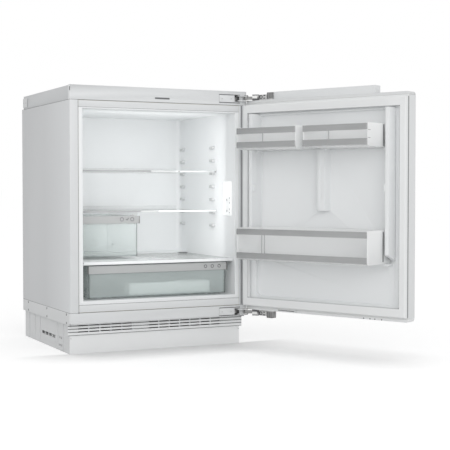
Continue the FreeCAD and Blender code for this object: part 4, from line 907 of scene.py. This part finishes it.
coilLook = {"left": -150.0, "pitch": 36.0, "turns": 9, "front": 110.0, "back": 330.0, "height": 44.0,
    "radius": 2.55, "bend": 17.9, "wires": 19, "wirePitch": 11.0, "wire": 1.3, "wireLift": 3.1,
    "wireSpare": 16.0}
pipeLook = {"start": -84.0, "x": -118.0, "y": 466.0, "half": 15.0, "middle": 77.0, "spread": 30.0,
    "wall": 175.0, "into": 416.0, "radius": 3.15, "bend": 14.0}


def makeTubes():
    look, bend, width = coilLook, coilLook["pitch"] / 2, (coilLook["turns"] - 1) * coilLook["pitch"]
    points = [bodyPoint(look["left"], look["front"], look["height"])]
    for turn in range(look["turns"] - 1):
        x = look["left"] + turn * look["pitch"]
        y = look["front"] - bend if turn % 2 else look["back"] + bend
        points += [bodyPoint(x, y, look["height"]), bodyPoint(x + look["pitch"], y, look["height"])]
    points.append(bodyPoint(look["left"] + width, look["back"], look["height"]))
    coil = growTube(points, look["radius"], look["bend"])
    piece = addPiece(coil, "condenser_tube", "copperTube", "condenser_coil", sharp=60)
    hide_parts("condenser_coil")
    start = bodyPoint(look["left"] + width / 2, look["front"] + bend / 2, look["height"] + look["wireLift"])
    wires = grow("row", {"count": look["wires"], "start": start, "step": (0, look["wirePitch"] * mm, 0),
        "size": [side * mm for side in (width + look["wireSpare"], look["wire"], look["wire"])]})
    addPiece(wires, "condenser_wires", "zincSheet", "condenser_bars")
    look = pipeLook
    pipes = []
    for side in (-1, 1):
        x, y = look["x"] - side * look["half"], look["y"] + side * look["half"]
        z = look["middle"] + side * look["spread"]
        route = [bodyPoint(look["start"], y, z), bodyPoint(x, y, z), bodyPoint(x, y, look["wall"]),
            bodyPoint(x, look["into"], look["wall"])]
        pipes.append(growTube(route, look["radius"], look["bend"]))
    piece = addPiece(merge(pipes, "pipes"), "pipe_runs", "copperTube", "refrigerant_pipes", sharp=60)
    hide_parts("refrigerant_pipes")


makeTubes()

# threads of the feet, the drain's collar and the pins of the mains inlet
rearLook = {"feet": [(x, y, 30.4) for x in (-245, 245) for y in (95, 480)], "thread": (5.0, 4.9, 7.0, 0.55),
    "collar": (0, 514.7, 312), "collarRing": (0.0095, 0.0035, 0.0009), "pin": (64.5, 509, 55),
    "pinStep": 0.0055, "pinSize": (0.0022, 0.008, 0.0045)}


def makeSmallRearParts():
    look = rearLook
    threads = growSpring([bodyPoint(*foot) for foot in look["feet"]], *look["thread"])
    addPiece(threads, "foot_threads", "zincSheet", "feet", sharp=60)
    bm = bmesh.new()
    addRing(bm, bodyPoint(*look["collar"]), -right, upward, *look["collarRing"])
    addPiece(bm, "drain_collar", "rubberBlack", "drain_pipe")
    pins = grow("row", {"count": 3, "start": bodyPoint(*look["pin"]), "step": (look["pinStep"], 0, 0),
        "size": look["pinSize"]})
    addPiece(pins, "inlet_pins", "hingeNickel", "mains_inlet")


makeSmallRearParts()
print("cooling parts dressed")

# stage, lamps and camera
studio = {
    "worldLevel": 0.80,
    "floorTone": 0.75,
    "floorLift": 0.40,  # what the camera adds to the pale floor
    "contactReach": 0.20,  # how far the shadow at the plinth's foot reaches, and how fast it fades
    "contactPower": 2.6,
    "contactEdge": (-0.235, -0.205),  # it is only drawn before the plinth
    "floorSize": 120.0,
    "cameraPlace": (-1.33987, -3.42570, 0.50614),
    "cameraTurn": (88.11, 0.0, -26.24),
    "lens": 87.75,
}
lamps = {  # power, place, what it aims at, size
    "key": (62.0, Vector((-1.4, -4.6, 1.1)), Vector((0.05, -0.2, 0.42)), (3.6, 3.6)),
    "opening": (0.15, bodyPoint(0, -20, 470), Vector((0, 0.3, 0.47)), (0.46, 0.54)),
    "deep": (0.50, bodyPoint(0, 60, 515), Vector((0, 0.3, 0.515)), (0.46, 0.45)),  # past the shelf fronts
    "drawer": (0.085, bodyPoint(0, 190, 273), bodyPoint(0, 190.1, 180), (0.50, 0.3)),  # under the cover plate
    "unit": (0.04, bodyPoint(253, 54, 504), bodyPoint(0, 200, 420), (0.04, 0.035)),  # on the right wall
}


def seenDirectly(tree):  # 1 for the camera, a mirror or a clear piece, 0 for plain light
    path = addNode(tree, "ShaderNodeLightPath")
    total = path["Is Camera Ray"]
    for kind in ("Is Glossy Ray", "Is Transmission Ray"):
        total = addNode(tree, "ShaderNodeMath", {0: total, 1: path[kind]}, operation="MAXIMUM")[0]
    return total


def makeWorld():
    world = bpy.data.worlds.new("studio")
    bpy.context.scene.world = world
    world.use_nodes = True
    tree = world.node_tree
    tree.nodes["Background"].inputs["Color"].default_value = (1, 1, 1, 1)
    level = addNode(tree, "ShaderNodeMapRange", {"Value": seenDirectly(tree), "To Min": studio["worldLevel"],
        "To Max": 1.0})
    tree.links.new(level["Result"], tree.nodes["Background"].inputs["Strength"])


def makeFloor():
    material = bpy.data.materials.new("paleFloor")
    material.use_nodes = True
    tree = material.node_tree
    tree.nodes.remove(tree.nodes["Principled BSDF"])

    def reckon(kind, first, second):
        return addNode(tree, "ShaderNodeMath", {0: first, 1: second}, operation=kind)[0]

    contact = addNode(tree, "ShaderNodeAmbientOcclusion", {"Distance": studio["contactReach"]}, samples=12)
    place = addNode(tree, "ShaderNodeTexCoord")["Object"]
    depth = addNode(tree, "ShaderNodeSeparateXYZ", {"Vector": place})["Y"]
    start, end = studio["contactEdge"]
    behind = addNode(tree, "ShaderNodeMapRange", {"Value": depth, "From Min": start, "From Max": end})
    openness = reckon("MAXIMUM", reckon("POWER", contact["AO"], studio["contactPower"]),
        behind["Result"])
    amount = reckon("MULTIPLY", reckon("MULTIPLY", seenDirectly(tree), studio["floorLift"]), openness)
    plain = addNode(tree, "ShaderNodeBsdfDiffuse", {"Color": (*[studio["floorTone"]] * 3, 1)})
    lift = addNode(tree, "ShaderNodeEmission", {"Strength": amount})
    both = addNode(tree, "ShaderNodeAddShader", {0: plain[0], 1: lift[0]})
    tree.links.new(both[0], tree.nodes["Material Output"].inputs["Surface"])
    bm = bmesh.new()
    bmesh.ops.create_grid(bm, x_segments=1, y_segments=1, size=studio["floorSize"])
    mesh = meshFrom(bm, "floor")
    mesh.materials.append(material)
    floor = addObject("floor", mesh)


def addLamp(name, power, place, aim, size):
    light = bpy.data.lights.new(name, "AREA")
    light.energy = power
    light.shape = "RECTANGLE"
    light.size, light.size_y = size
    lamp = addObject(name, light)
    lamp.location = place
    lamp.rotation_euler = (aim - place).to_track_quat("-Z", "Y").to_euler()
    lamp.visible_camera = False
    lamp.visible_glossy = name == "key"


def makeCamera():
    data = bpy.data.cameras.new("camera")
    data.sensor_width = 36.0
    data.sensor_fit = "HORIZONTAL"
    data.lens = studio["lens"]
    camera = addObject("camera", data)
    camera.location = studio["cameraPlace"]
    camera.rotation_euler = [math.radians(angle) for angle in studio["cameraTurn"]]
    bpy.context.scene.camera = camera


makeWorld()
makeFloor()
for name, row in lamps.items():
    addLamp(name, *row)
makeCamera()
bpy.context.scene.view_settings.view_transform = "Standard"
print("stage, lamps and camera set")
